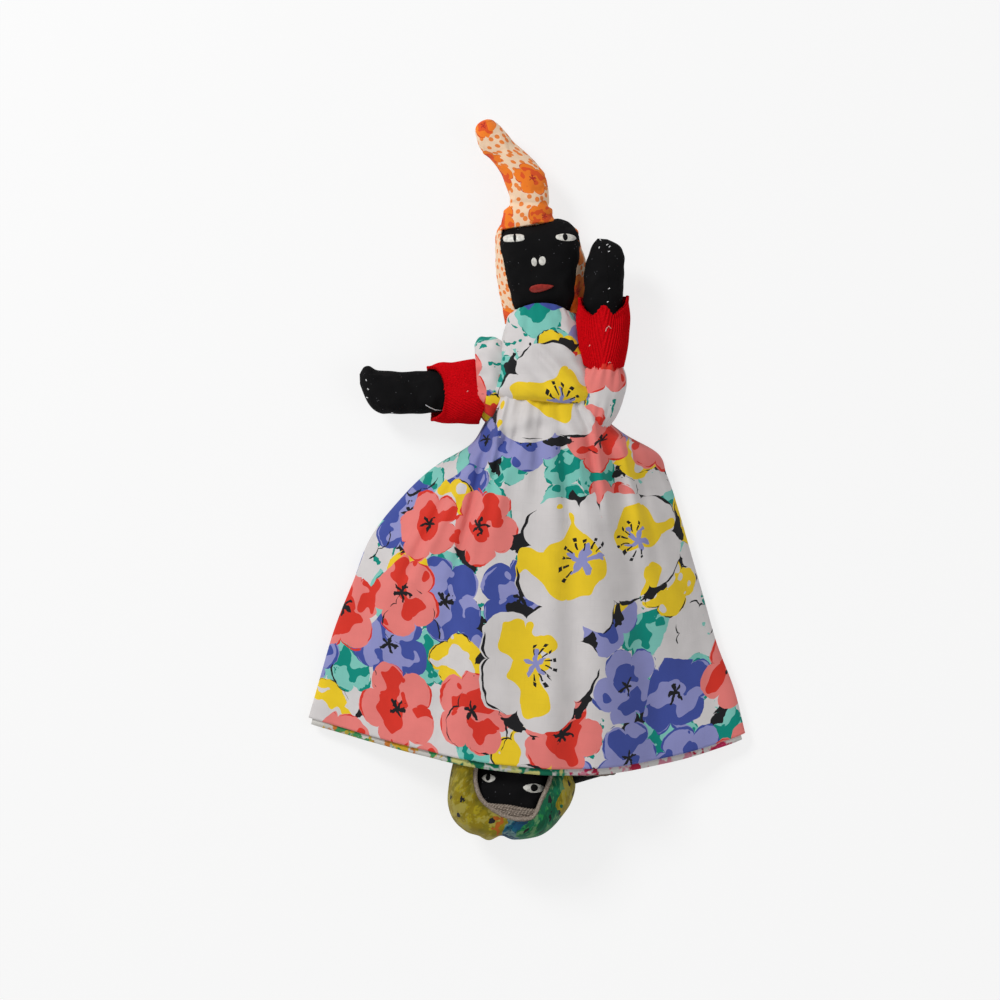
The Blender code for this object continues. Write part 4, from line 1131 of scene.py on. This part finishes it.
def kerchief_points(columns=114, rows=64):
    """The kerchief round the back of the head. Its first and last columns are the strips
    that show beside the jaw and face the camera."""
    points = np.zeros((rows, columns + 1, 3))
    for r in range(rows):
        share = r / (rows - 1)
        y = (-1.5 + 47.9 * share) * MM
        reach = eased(KERCHIEF_SIDES, y / MM) * MM
        wide, deep, _ = eased(HEAD_TABLE, min(1.0, max(0.0, y / HEAD_SIZE[0])))
        half, depth = wide * HEAD_SIZE[1], deep * HEAD_SIZE[2]
        back = depth + 0.0012
        for c in range(columns + 1):
            t = (c - STRIP_COLUMNS) / (columns - 2 * STRIP_COLUMNS)
            out = reach[0] if t < 0.5 else reach[1]
            if 0 <= t <= 1:
                turn = math.radians(188 + 164 * t)
                x = out * signed_power(math.cos(turn), 0.7)
                z = back * signed_power(math.sin(turn), 0.7)
            else:
                inward = min(c, columns - c) / STRIP_COLUMNS
                sign = -1 if t < 0 else 1
                x = sign * (half * 0.93 + (out * 0.987 - half * 0.93) * inward)
                z = 0.40 * depth * (1 - inward) - 0.26 * back * inward
                z += 0.0008 * math.sin(math.pi * inward)
            wave = 0.0005 * ruffled((y, z, t), 200.0, 4.0)
            drop = 0.0022 * share**8 * max(0.0, x) / 0.012
            points[r, c] = (x + wave, y - drop, z - 0.0005 * ruffled((x, y, 0), 130.0, 2.0))
    shape = in_frame(points, UPPER_HEAD_AT)
    shape[:, :, 2] = np.maximum(shape[:, :, 2], 0.0012)
    return shape


kerchief = piece("kerchief", rolled(kerchief_points(), front=57, closed=False), "upper_head_body",
                 kerchief_cotton,
                 ("upper_headscarf",), wall=KERCHIEF_WALL)

# %% Kerchief peak
PEAK_PAIRS = (
    ((-18.9, 44.2), (9.0, 46.6)), ((-17.6, 50.0), (7.6, 49.6)), ((-16.6, 54.4), (7.4, 53.0)),
    ((-14.6, 57.2), (7.2, 55.8)), ((-13.9, 60.3), (6.8, 60.6)), ((-15.0, 66.2), (6.4, 65.9)),
    ((-17.0, 72.7), (4.6, 71.8)), ((-20.8, 78.8), (-0.8, 78.5)), ((-24.4, 81.7), (-6.7, 84.2)),
    ((-26.7, 85.5), (-11.1, 89.8)), ((-27.9, 91.2), (-14.5, 94.6)), ((-27.0, 95.2), (-18.0, 97.9)),
    ((-24.4, 97.5), (-21.6, 98.4)),
)


def peak_points(columns=72, rows=108):
    """The bent peak, as ovals across the pairs of points."""
    table = [(i / (len(PEAK_PAIRS) - 1), *low, *high) for i, (low, high) in enumerate(PEAK_PAIRS)]
    points = np.zeros((rows, columns + 1, 3))
    for r in range(rows):
        share = r / (rows - 1)
        low_x, low_y, high_x, high_y = (v * MM for v in eased(table, share))
        middle = Vector(((low_x + high_x) / 2, (low_y + high_y) / 2, 0))
        across = Vector(((high_x - low_x) / 2, (high_y - low_y) / 2, 0))
        depth = min(across.length, 0.0078) * (0.9 if share < 0.9 else 1.0)
        pinch = 1 - 0.05 * math.exp(-(((share - 0.25) / 0.035) ** 2))
        for c in range(columns + 1):
            turn = TURN * (c % columns) / columns - math.pi / 2
            spiral = math.sin(2 * turn - share * 11 + 1.2)
            uneven = ruffled((math.cos(turn), math.sin(turn), share * 9), 1.6)
            swell = pinch * (1 + 0.045 * spiral + 0.05 * uneven)
            swell += 0.04 * math.exp(-(((share - 0.12 - 0.05 * math.cos(turn)) / 0.05) ** 2))
            spot = middle + across * math.cos(turn) * min(swell, 1.04)
            points[r, c] = spot + Vector((0, 0, depth * math.sin(turn) * swell))
    points[0] = points[0].mean(axis=0)
    points[-1] = points[-1].mean(axis=0)
    return in_frame(points, UPPER_HEAD_AT)


peak = piece("kerchief_peak", rolled(peak_points(), front=36), "peak_body", kerchief_cotton,
             ("scarf_peak",))
stuffed(peak, PEAK_SWELL)

# %% [markdown]
# ## The bodice
# The bodice is a tube of the dress print that is gathered at the neck and blouses over the
# waist. Its creases run down from the shoulders, as the photograph shows.

# %% Bodice
BODICE_TABLE = (
    (0.00, 0.97, 0.88), (0.04, 1.04, 1.02), (0.09, 1.08, 1.09), (0.16, 1.06, 1.10),
    (0.30, 0.99, 1.04),
    (0.42, 0.93, 1.02), (0.55, 0.87, 1.00), (0.75, 0.82, 0.90), (0.90, 0.74, 0.80),
    (1.00, 0.63, 0.68),
)
BODICE_CREASES = (
    ((-10, 74), (24, 44), 2.6, 1.3), ((-13, 66), (8, 42), 2.4, -1.1),
    ((-14, 70), (-12, 44), 2.2, 1.1),
    ((8, 72), (26, 50), 2.2, 1.0), ((-4, 80), (-6, 62), 2.0, -0.7), ((14, 78), (20, 60), 2.4, 0.9),
    ((-12, 50), (6, 38), 2.0, 0.9), ((0, 62), (18, 42), 2.0, -1.2),
)
NECK_ARCH = 0.004
LYING = 0.0005


def bodice_points(table, start, end, half, centre_line, columns=180, rows=100, seed=0.0):
    """A cloth tube round a torso, from its waist to its neck, with creases on its front."""
    points = np.zeros((rows, columns + 1, 3))
    for r in range(rows):
        share = r / (rows - 1)
        wide, deep = eased(table, share)
        middle = [low + (high - low) * share for low, high in zip(*centre_line)]
        y = start + (end - start) * share
        gather = math.exp(-((1 - share) / 0.10) ** 2) + 0.4 * math.exp(-((share / 0.08) ** 2))
        for c in range(columns + 1):
            turn = TURN * (c % columns) / columns - math.pi / 2
            side = signed_power(math.cos(turn), 0.85)
            up = signed_power(math.sin(turn), 0.85)
            swell = 1 + 0.018 * gather * math.sin(21 * turn)
            swell += 0.03 * ruffled((side, up, share * 4), 2.4, seed)
            x = middle[0] + wide * half[0] * side * swell
            z = middle[1] + deep * half[1] * up * swell
            if up > 0:
                for (x0, y0), (x1, y1), width, rise in BODICE_CREASES if seed else ():
                    run = Vector((x1 - x0, y1 - y0))
                    spot = Vector((x / MM - x0, y / MM - y0))
                    t = spot.dot(run) / run.length_squared
                    away = (spot - run * t).length / width
                    if -0.2 < t < 1.2 and away < 3:
                        fade = min(1, (t + 0.2) / 0.3) * min(1, (1.2 - t) / 0.3)
                        z += rise * MM * fade * up * math.exp(-away * away)
            arch = NECK_ARCH * max(0.0, up) * (1 - side * side) - NECK_ARCH / 2
            arch = arch * share**6 if seed else 0.0
            hem = 0.0010 * (1 - share) ** 8 * ruffled((x, 0, z), 90.0, 5.0) if seed else 0.0
            points[r, c] = (x, y + arch + hem + 0.0008 * side * ruffled((x, 0, z), 80.0, 7.0),
                            max(z, LYING))
    return points


shape = bodice_points(BODICE_TABLE, 0.0378, 0.0838, mm(24.0, 15.8), (mm(6.1, 17.2), mm(3.4, 13.2)),
                      seed=3.0)
bodice = piece("upper_bodice_cloth", rolled(shape, front=90), None, bodice_cotton,
               ("upper_bodice",),
               wall=COTTON_WALL)
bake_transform(bodice)

# %% [markdown]
# ## Torsos
# Both torsos are hidden under the clothes. They take the CAD solid's form with its facets
# smoothed away. The lower one wears a plain bodice of the lining's cloth.


# %% Torsos and shoulder tabs
def smoothed_copy(name, nodes, body, finish, levels=2):
    """A copy of a CAD node with merged corners and a subdivision surface."""
    maker = bmesh.new()
    maker.from_mesh(frame["nodes"][nodes[0]].data)
    bmesh.ops.remove_doubles(maker, verts=maker.verts, dist=0.00001)
    for layer in list(maker.loops.layers.uv):
        maker.loops.layers.uv.remove(layer)
    layer = maker.loops.layers.uv.new("cut")
    for face in maker.faces:
        for loop in face.loops:
            loop[layer].uv = (loop.vert.co.x, loop.vert.co.y)
    return piece(name, maker, body, finish, nodes, levels=levels)


for half, body in (("upper", "upper_half"), ("lower", "root")):
    torso = smoothed_copy(f"{half}_torso_bag", (f"{half}_torso", f"{half}_torso_stuffing"), body,
                          black_cotton,
                          1)

# %% Lower bodice
lower_line = (mm(4.9, 16.5), mm(3.1, 15.8))
shape = bodice_points(((0.00, 0.98, 0.98), (0.30, 1.0, 1.0), (0.70, 0.98, 1.0), (0.90, 0.88, 0.84),
                       (1.0, 0.80, 0.70)),
                      -0.0205, -0.1215, mm(20.3, 13.0), lower_line, rows=60)
lower_bodice = piece("lower_bodice_cloth", rolled(shape, front=90), "root", lining_cotton,
                     ("lower_bodice",),
                     wall=COTTON_WALL)

# %% [markdown]
# ## Arms, sleeves and cuffs
# Each arm is a stuffed bag that is stitched flat to a tab at the shoulder. A cap sleeve of
# the dress print covers the tab, and a rib-knit cuff covers the arm down to the wrist. The
# ribs are real ridges, about 1.2 mm apart, and the rim of each red cuff dips in front.

# %% Arm places
TAB_RADIUS = 0.0062
TAB_HALF_DEPTH = 0.0028


def arm_place(x, y, z, degrees):
    """The arm's own frame, at the top edge of its tab, and the hinge's frame."""
    turn = math.radians(degrees)
    root = (x - math.sin(turn) * TAB_RADIUS, y + math.cos(turn) * TAB_RADIUS, z + TAB_HALF_DEPTH)
    return placed(*root, turn), placed(x, y, z, turn)


# Share of the length, half width and half depth as shares, and the sideways shift
REACHING_TABLE = (
    (0.00, 0.52, 0.30, 0.0), (0.06, 0.62, 0.52, -0.12), (0.22, 0.86, 0.80, -0.32),
    (0.45, 0.97, 0.94, -0.385),
    (0.63, 0.95, 1.00, -0.345), (0.745, 0.96, 1.00, -0.27), (0.85, 0.965, 0.94, -0.205),
    (0.92, 0.875, 0.80, 0.02), (0.965, 0.62, 0.52, 0.18), (1.00, 0.22, 0.14, 0.34),
)
RAISED_TABLE = (
    (0.00, 0.52, 0.30, 0.0), (0.06, 0.62, 0.52, 0.06), (0.22, 0.76, 0.80, 0.06),
    (0.48, 0.84, 0.94, -0.20),
    (0.62, 0.865, 1.00, -0.25), (0.71, 0.875, 1.00, -0.285), (0.79, 0.84, 0.97, -0.28),
    (0.90, 0.72, 0.84, -0.25), (0.97, 0.50, 0.52, -0.32), (1.00, 0.22, 0.16, -0.48),
)
STRAIGHT_TABLE = (
    (0.00, 0.52, 0.30, 0.0), (0.06, 0.62, 0.52, 0.0), (0.22, 0.76, 0.80, 0.0),
    (0.48, 0.86, 0.94, 0.0),
    (0.74, 0.97, 1.00, 0.0), (0.92, 1.00, 0.86, 0.0), (0.98, 0.92, 0.56, 0.0),
    (1.00, 0.78, 0.20, 0.0),
)
# Cuffs: share of the length, middle, half width and half depth, in millimetres
REACHING_CUFF = ((0.0, -5.9, 15.6, 10.0), (0.4, -5.8, 14.9, 10.8), (0.8, -5.2, 14.2, 10.4),
                 (1.0, -5.2, 12.7, 9.8))
RAISED_CUFF = ((0.0, -1.2, 10.4, 9.6), (0.12, -1.4, 11.4, 10.4), (0.35, -1.7, 12.5, 10.8),
               (0.7, -2.3, 13.0, 10.8),
               (1.0, -2.6, 11.6, 10.2))
GREY_CUFF = ((0.0, 0.0, 10.8, 9.2), (0.3, 0.0, 12.0, 9.6), (1.0, 0.0, 12.4, 9.6))
# Arms: place, turn, length, form, slant of the end, cuff's start and length, its form,
# its rim's dip in front, its end's bow, the tilt of its rim, the lean of its ribs
ARMS = (
    ("upper_right", (-0.023107, 0.048, 0.0125), 97.0, 0.0563, REACHING_TABLE, 0.0,
     (-1.2, 23.4), REACHING_CUFF, (8.0, 0.0), 4.6, 0.0, 0.67),
    ("upper_left", (0.033893, 0.048, 0.0195), -1.2, 0.0652, RAISED_TABLE, 0.0,
     (2.8, 33.6), RAISED_CUFF, (9.0, 3.8), 3.4, 1.3, 0.0),
    ("lower_right", (0.029161, -0.088, 0.0178), 188.0, 0.0520, STRAIGHT_TABLE, 0.0018,
     (25.0, 23.5), GREY_CUFF, (0.0, 0.0), 0.0, -0.9, 0.2),
    ("lower_left", (-0.021839, -0.088, 0.0122), 13.5 + 180.0, 0.054, STRAIGHT_TABLE, 0.0,
     (25.0, 23.5), GREY_CUFF, (0.0, 0.0), 0.0, 0.0, 0.2),
)

# %% [markdown]
# A cuff is a tube of rib knit. Its ribs are waves round the tube, fine enough to need 432
# columns, because a bump alone would leave the rim smooth where the picture shows teeth.


# %% Cuffs
def cuff_points(reach, table, dip, bow, tilt, lean, place, columns=432, rows=46, ribs=66):
    """A rib-knit cuff. Its rim dips in front of the hand, and a bunched seam can stand up
    in the middle of the dip. Without a lean, the ribs run apart from that seam."""
    points = np.zeros((rows, columns + 1, 3))
    for r in range(rows):
        share = r / (rows - 1)
        middle, half_width, half_depth = eased(table, share)
        for c in range(columns + 1):
            turn = TURN * (c % columns) / columns - math.pi / 2
            front = abs(turn - math.pi / 2)
            front = min(front, TURN - front)
            phase = turn + lean * share if lean else front - 0.35 * share
            rib = math.cos(ribs * phase) * 0.30
            curl = 0.55 * math.exp(-(((share - 1) / 0.05) ** 2))
            side = signed_power(math.cos(turn), 0.8)
            up = signed_power(math.sin(turn), 0.8)
            slack = 0.5 * ruffled((side, up, share * 2), 1.7, reach[0])
            x = middle + side * (half_width + rib + curl + slack)
            z = up * (half_depth + rib + curl + slack)
            low_end = reach[0] - bow * max(0.0, 1 - (side * 1.05) ** 2)
            high_end = reach[0] + reach[1] - dip[0] * max(0.0, up) ** 1.1 + tilt * side
            if dip[1]:
                seam = front / 0.17
                high_end += dip[1] * math.exp(-seam * seam)
                high_end -= 1.2 * math.exp(-((front - 0.45) / 0.22) ** 2)
                z += 1.3 * share**6 * math.exp(-seam * seam)
            high_end += 0.5 * ruffled((side * 2, up * 2, 0.5), 2.3, reach[1])
            points[r, c] = (x, low_end + (high_end - low_end) * share, z)
    points *= MM
    points[:, :, 2] -= TAB_HALF_DEPTH
    return in_frame(points, place)

# %% [markdown]
# An upper arm lifts from its tab. Its bag and cuff are attached to no body, and their place
# is baked into their meshes.


def bent_by_lift(made):
    """Bake the piece's place into its mesh. The piece is attached to no body."""
    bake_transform(made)


for prefix, spot, degrees, length, table, slant, reach, cuff_table, dip, bow, tilt, lean in ARMS:
    arm_at, hinge_at = arm_place(*spot, degrees)
    body = f"{prefix}_arm_body"
    lifts = prefix.startswith("upper")
    tab_body = f"{prefix}_shoulder_body" if lifts else body
    size = (length, ARM_HALF_WIDTH, ARM_HALF_DEPTH)
    arm_points = pillow(table, size, arm_at, 2.4, sink=TAB_HALF_DEPTH, seed=spot[0] * 90,
                        slant=slant)
    arm = piece(f"{prefix}_arm_bag", rolled(arm_points, front=32), None if lifts else body,
                black_cotton,
                (f"{prefix}_arm", f"{prefix}_arm_stuffing"))
    stuffed(arm, ARM_SWELL)
    smoothed_copy(f"{prefix}_shoulder_tab", (f"{prefix}_shoulder",), tab_body, black_cotton)
    knit, knit_finish = ("red_knit", red_knit) if lifts else ("grey_knit", grey_knit)
    cuff_shape = cuff_points(reach, cuff_table, dip, bow, tilt, lean, arm_at)
    cuff = piece(f"{prefix}_cuff_knit", rolled(cuff_shape, front=216), None if lifts else body,
                 knit_finish,
                 (f"{prefix}_cuff",), wall=KNIT_WALL)
    if lifts:
        bent_by_lift(arm)
        bent_by_lift(cuff)

# %% [markdown]
# The seams of the hands are closed with white thread. Only a stitch here and there shows,
# and a few thread ends were left loose.

# %% Stitches and thread ends
# Stitches: the arm, then the places of short stitches in the arm's frame, in millimetres
STITCHES = (
    ("upper_left", ((-6.4, 63.6, 2.2), (-3.0, 61.3, 0.6), (-1.8, 60.4, 0.9), (-2.0, 58.0, 0.3),
                    (-0.6, 40.0, 0.7),
                    (-0.8, 33.5, 0.5), (-0.6, 29.6, 0.6), (-6.8, 59.6, 1.4))),
    ("upper_right", ((3.2, 52.2, 0.4), (-1.2, 51.6, 0.6), (-5.2, 52.4, 1.2), (-13.4, 40.8, 1.3))),
)
# Loose ends: the arm, the cuff or the hand, and the thread's path
LOOSE_ENDS = (
    ("upper_right", "hand",
     ((-10.9, 24.2), (-12.4, 22.0), (-13.6, 19.6), (-13.9, 17.0), (-13.7, 14.9))),
    ("upper_left", "cuff", ((1.6, 20.6), (0.4, 21.6), (-0.6, 20.4), (-0.9, 19.0))),
    ("upper_left", "cuff", ((-8.4, 11.2), (-7.9, 11.9))),
    ("upper_left", "cuff", ((1.5, 3.8), (2.2, 4.4), (2.7, 4.0))),
    ("upper_right", "cuff", ((-5.6, 3.0), (-6.1, 3.5))),
)


def thread_on(made, place, spots, rise):
    """Points of a thread that lies on a piece's front."""
    tree = surface_of(made)
    line = []
    for x, y in spots:
        spot, normal = on_front(tree, place, x * MM, y * MM)
        line.append(spot + Vector((0, 0, rise)))
    return line


arm_frames = {row[0]: arm_place(*row[1], row[2])[0] for row in ARMS}
for prefix, stitches in STITCHES:
    hand = bpy.data.objects[f"{prefix}_arm_bag"]
    lines = [thread_on(hand, arm_frames[prefix], [(x - 0.45 * math.cos(t), y - 0.45 * math.sin(t)),
                                                  (x, y),
                                                  (x + 0.45 * math.cos(t), y + 0.45 * math.sin(t))],
                       0.0001)
             for x, y, t in stitches]
    strand(f"{prefix}_hand_stitches", lines, 0.00028, white_thread, f"{prefix}_arm_body", smooth=1)
for i, (prefix, on, path) in enumerate(LOOSE_ENDS):
    under = bpy.data.objects[f"{prefix}_arm_bag" if on == "hand" else f"{prefix}_cuff_knit"]
    finish = white_thread if on == "hand" else red_thread
    line = thread_on(under, arm_frames[prefix], path, 0.0002)
    thread = strand(f"{prefix}_thread_end_{i + 1}", [line], 0.0002, finish,
                    None if on == "cuff" else f"{prefix}_arm_body", smooth=1)
    if on == "cuff":
        bent_by_lift(thread)
seam_line = thread_on(bpy.data.objects["upper_left_arm_bag"], arm_frames["upper_left"],
                      [(-5.6 + 5.6 * (k / 40) ** 0.55, 62.6 - 34.0 * k / 40) for k in range(41)],
                      -0.00012)
strand("upper_left_hand_seam", [seam_line], 0.0003, black_thread, "upper_left_arm_body", smooth=1)

# %% [markdown]
# ## Cap sleeves
# A short puffed sleeve covers each tab. It is gathered at both ends, and its cloth is free
# to bunch, so its section swells and puckers. The right one is sewn to the bodice and, like
# the bodice, is attached to no body.

# %% Cap sleeves
CAP_TABLE = ((0.00, 0.55, 0.70), (0.20, 0.86, 0.92), (0.45, 1.02, 1.04), (0.70, 1.03, 1.06),
             (0.88, 0.92, 0.98),
             (1.00, 0.78, 0.90))


def cap_points(place, start, end, half_width, half_depth, columns=120, rows=60, seed=0.0, lean=0.0):
    """A puffed sleeve, gathered at both its ends."""
    points = np.zeros((rows, columns + 1, 3))
    for r in range(rows):
        share = r / (rows - 1)
        wide, deep = eased(CAP_TABLE, share)
        gather = math.exp(-(((1 - share) / 0.3) ** 2)) + math.exp(-((share / 0.3) ** 2))
        for c in range(columns + 1):
            turn = TURN * (c % columns) / columns - math.pi / 2
            side, up = math.cos(turn), math.sin(turn)
            swell = 1 + 0.05 * gather * math.sin(15 * turn + 2 * share)
            swell += 0.10 * ruffled((side, up, share * 1.5), 1.9, seed)
            x = wide * half_width * side * swell + lean * (1 - share)
            points[r, c] = (x, start + (end - start) * share, deep * half_depth * up * swell)
    shape = in_frame(points, place)
    shape[:, :, 2] = np.maximum(shape[:, :, 2], LYING)
    return shape


for prefix, reach, half, lean in (("upper_right", (-13.0, 4.6), (20.5, 12.4), -2.0),
                                  ("upper_left", (-21.0, 9.6), (11.6, 11.4), -2.5)):
    spot, degrees = next(row[1:3] for row in ARMS if row[0] == prefix)
    cap_shape = cap_points(arm_place(*spot, degrees)[1], *mm(*reach), *mm(*half), seed=spot[0] * 50,
                           lean=lean * MM)
    sewn_on = prefix == "upper_right"
    cap = piece(f"{prefix}_sleeve", rolled(cap_shape, front=60),
                None if sewn_on else f"{prefix}_shoulder_body",
                sleeve_cotton, (f"{prefix}_cap_sleeve",), wall=COTTON_WALL)
    if sewn_on:
        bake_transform(cap)

# %% [markdown]
# ## The lower head
# The second head hangs out below the hem. Its face has only its eyes in view. A thick strand
# of yarn runs round the face, rows of yarn lie across the brow, and a puffed bonnet goes round it.

# %% Lower head and face
LOWER_HEAD_AT = placed(0.0030, -0.1235, 0.0167, math.radians(171))
head_points = pillow(HEAD_TABLE, HEAD_SIZE, LOWER_HEAD_AT, 3.0, seed=2.0)
lower_head = piece("lower_head_bag", rolled(head_points, front=32), "lower_head_body", black_cotton,
                   ("lower_head", "lower_head_stuffing"))
stuffed(lower_head, HEAD_SWELL)
lower_face = surface_of(lower_head)
for part, centre, half_size, shape in (
        ("left_eye", (11.2, 24.4), (3.3, 2.0), {"turn": 0.2, "point": 1.25}),
        ("right_eye", (-11.4, 24.6), (5.5, 2.3), {"turn": 0.12, "point": 1.15}),
        ("left_nostril", (2.0, 13.4), (1.5, 2.0), {}),
    ("right_nostril", (-2.0, 13.4), (1.5, 2.0), {})):
    face_dab("lower", part, lower_face, LOWER_HEAD_AT, centre, half_size, white_paint,
             "white_paint", **shape)
for part, centre, half_size in (("left_pupil", (11.4, 24.1), (1.2, 1.7)),
                                ("right_pupil", (-11.2, 24.4), (2.0, 1.9))):
    face_dab("lower", part, lower_face, LOWER_HEAD_AT, centre, half_size, black_paint,
             "black_paint", thick=0.0008)
face_dab("lower", "lips", lower_face, LOWER_HEAD_AT, (0, 3.6), (5.5, 1.7), red_paint, "red_paint",
         thick=0.0009)

# %% [markdown]
# The hair is grey yarn: one thick strand round the face and five twisted rows across the
# brow. Two strands that turn round each other catch the light as spun yarn does.

# %% Yarn round the face
EDGE = ((19.3, 8.0), (19.6, 14.0), (19.4, 20.0), (18.2, 27.3), (14.1, 34.7), (7.9, 39.0),
        (0.1, 41.6), (-7.7, 41.7),
        (-13.4, 39.8), (-15.6, 35.8), (-16.8, 30.0), (-18.4, 23.0), (-19.2, 16.0), (-19.4, 8.0))


def edge_at(share):
    """A place on the yarn edge, from the left ear over the crown to the right ear."""
    table = [(i / (len(EDGE) - 1), *spot) for i, spot in enumerate(EDGE)]
    return mm(*eased(table, share))


def head_top(x, y):
    spot, _ = on_front(lower_face, LOWER_HEAD_AT, x, y)
    return spot


def yarn_line(spots, radius, rise=0.0):
    """Points that lie a radius above the head."""
    line = []
    for x, y in spots:
        reach = min(abs(x), 0.0165)
        spot = head_top(math.copysign(reach, x), min(y, 0.0405))
        at = LOWER_HEAD_AT @ Vector((x, y, 0))
        line.append(Vector((at.x, at.y, spot.z + radius + rise)))
    return line


EDGE_RISE = 0.0116
edge_line = []
for i in range(241):
    x, y = edge_at(i / 240)
    inward = Vector((x, y - 0.020, 0)).normalized() * 0.0009
    edge_line.append(LOWER_HEAD_AT @ Vector((x - inward.x, y - inward.y, EDGE_RISE)))
strand("lower_yarn_edge", [edge_line], 0.0012, grey_yarn, "lower_head_body", ("lower_hair_edge",),
       smooth=4)
for i in range(5):
    spots = []
    for k in range(81):
        t = k / 80
        left = (12.6 - 1.1 * i, 36.9 + 1.0 * i)
        right = (-14.2 + 0.4 * i, 35.0 + 1.2 * i)
        spots.append(mm(left[0] + (right[0] - left[0]) * t, left[1] + (right[1] - left[1]) * t
                        + 0.25 * math.sin(9 * t + 2 * i)))
    strand(f"lower_yarn_row_{i + 1}", [yarn_line(spots, 0.0007)], 0.00085, grey_yarn,
           "lower_head_body",
           (f"lower_fringe_{5 - i}",), plies=2, twist=0.0030)

# %% [markdown]
# ## The bonnet
# The bonnet is a ring of cloth gathered along the yarn, puffed out, and drawn in again at
# the back. Its outline was read off the photograph, and rows of points run from the yarn
# over that outline to the back.

# %% Bonnet
BONNET_MIDDLE = Vector((-1.0, 20.0, 0))
BONNET_OUTLINE = ((24.0, 3.0), (27.6, 12.0), (28.8, 22.0), (28.6, 32.0), (27.2, 41.0), (23.0, 48.0),
                  (16.0, 52.2),
                  (10.0, 52.9), (4.8, 54.0), (-0.6, 50.6), (-7.2, 51.2), (-17.4, 47.6),
                  (-23.0, 42.6), (-27.0, 35.6),
                  (-29.8, 28.6), (-30.2, 20.0), (-26.5, 11.0), (-22.5, 3.0))
BONNET_ROWS = ((0.00, 0.00, 9.2), (0.06, 0.02, 11.0), (0.18, 0.16, 13.6), (0.32, 0.45, 14.4),
               (0.45, 0.80, 10.5),
               (0.55, 1.00, 2.0), (0.65, 0.96, -6.0), (0.78, 0.70, -12.4), (0.90, 0.35, -13.8),
               (1.00, 0.02, -13.9))


def bonnet_points(columns=240, rows=90):
    """The bonnet from the yarn edge, over its puffed front and round to the back."""
    outline = [(i / (len(BONNET_OUTLINE) - 1), *spot) for i, spot in enumerate(BONNET_OUTLINE)]
    points = np.zeros((rows, columns + 1, 3))
    for c in range(columns + 1):
        share = c / columns
        inner = Vector((*edge_at(share), 0)) / MM
        outer = Vector((*eased(outline, share), 0))
        tuck = math.exp(-(((share - 0.53) / 0.022) ** 2))
        for r in range(rows):
            row = r / (rows - 1)
            out, z = eased(BONNET_ROWS, row)
            if row < 0.55:
                spot = inner + (outer - inner) * out
            else:
                spot = BONNET_MIDDLE + (outer - BONNET_MIDDLE) * out
            gather = math.exp(-((row / 0.30) ** 2)) + 0.5 * math.exp(-(((row - 0.95) / 0.2) ** 2))
            ripple = 0.35 * math.sin(96 * share * 1.6 + 2.0 * math.sin(9 * share)) * gather
            ripple += 0.9 * ruffled((spot.x, spot.y, z), 0.11,
                                    4.0) - 1.6 * tuck * math.exp(-(((row - 0.4) / 0.3) ** 2))
            if row < 0.5:
                z += ripple * (1 if z > 0 else -0.4)
            points[r, c] = (spot + Vector((0, 0, z))) * MM
    return in_frame(points, LOWER_HEAD_AT)


bonnet = piece("lower_bonnet", rolled(bonnet_points(), front=120, closed=False), "lower_head_body",
               bonnet_cotton,
               ("lower_headscarf",), wall=BONNET_WALL)
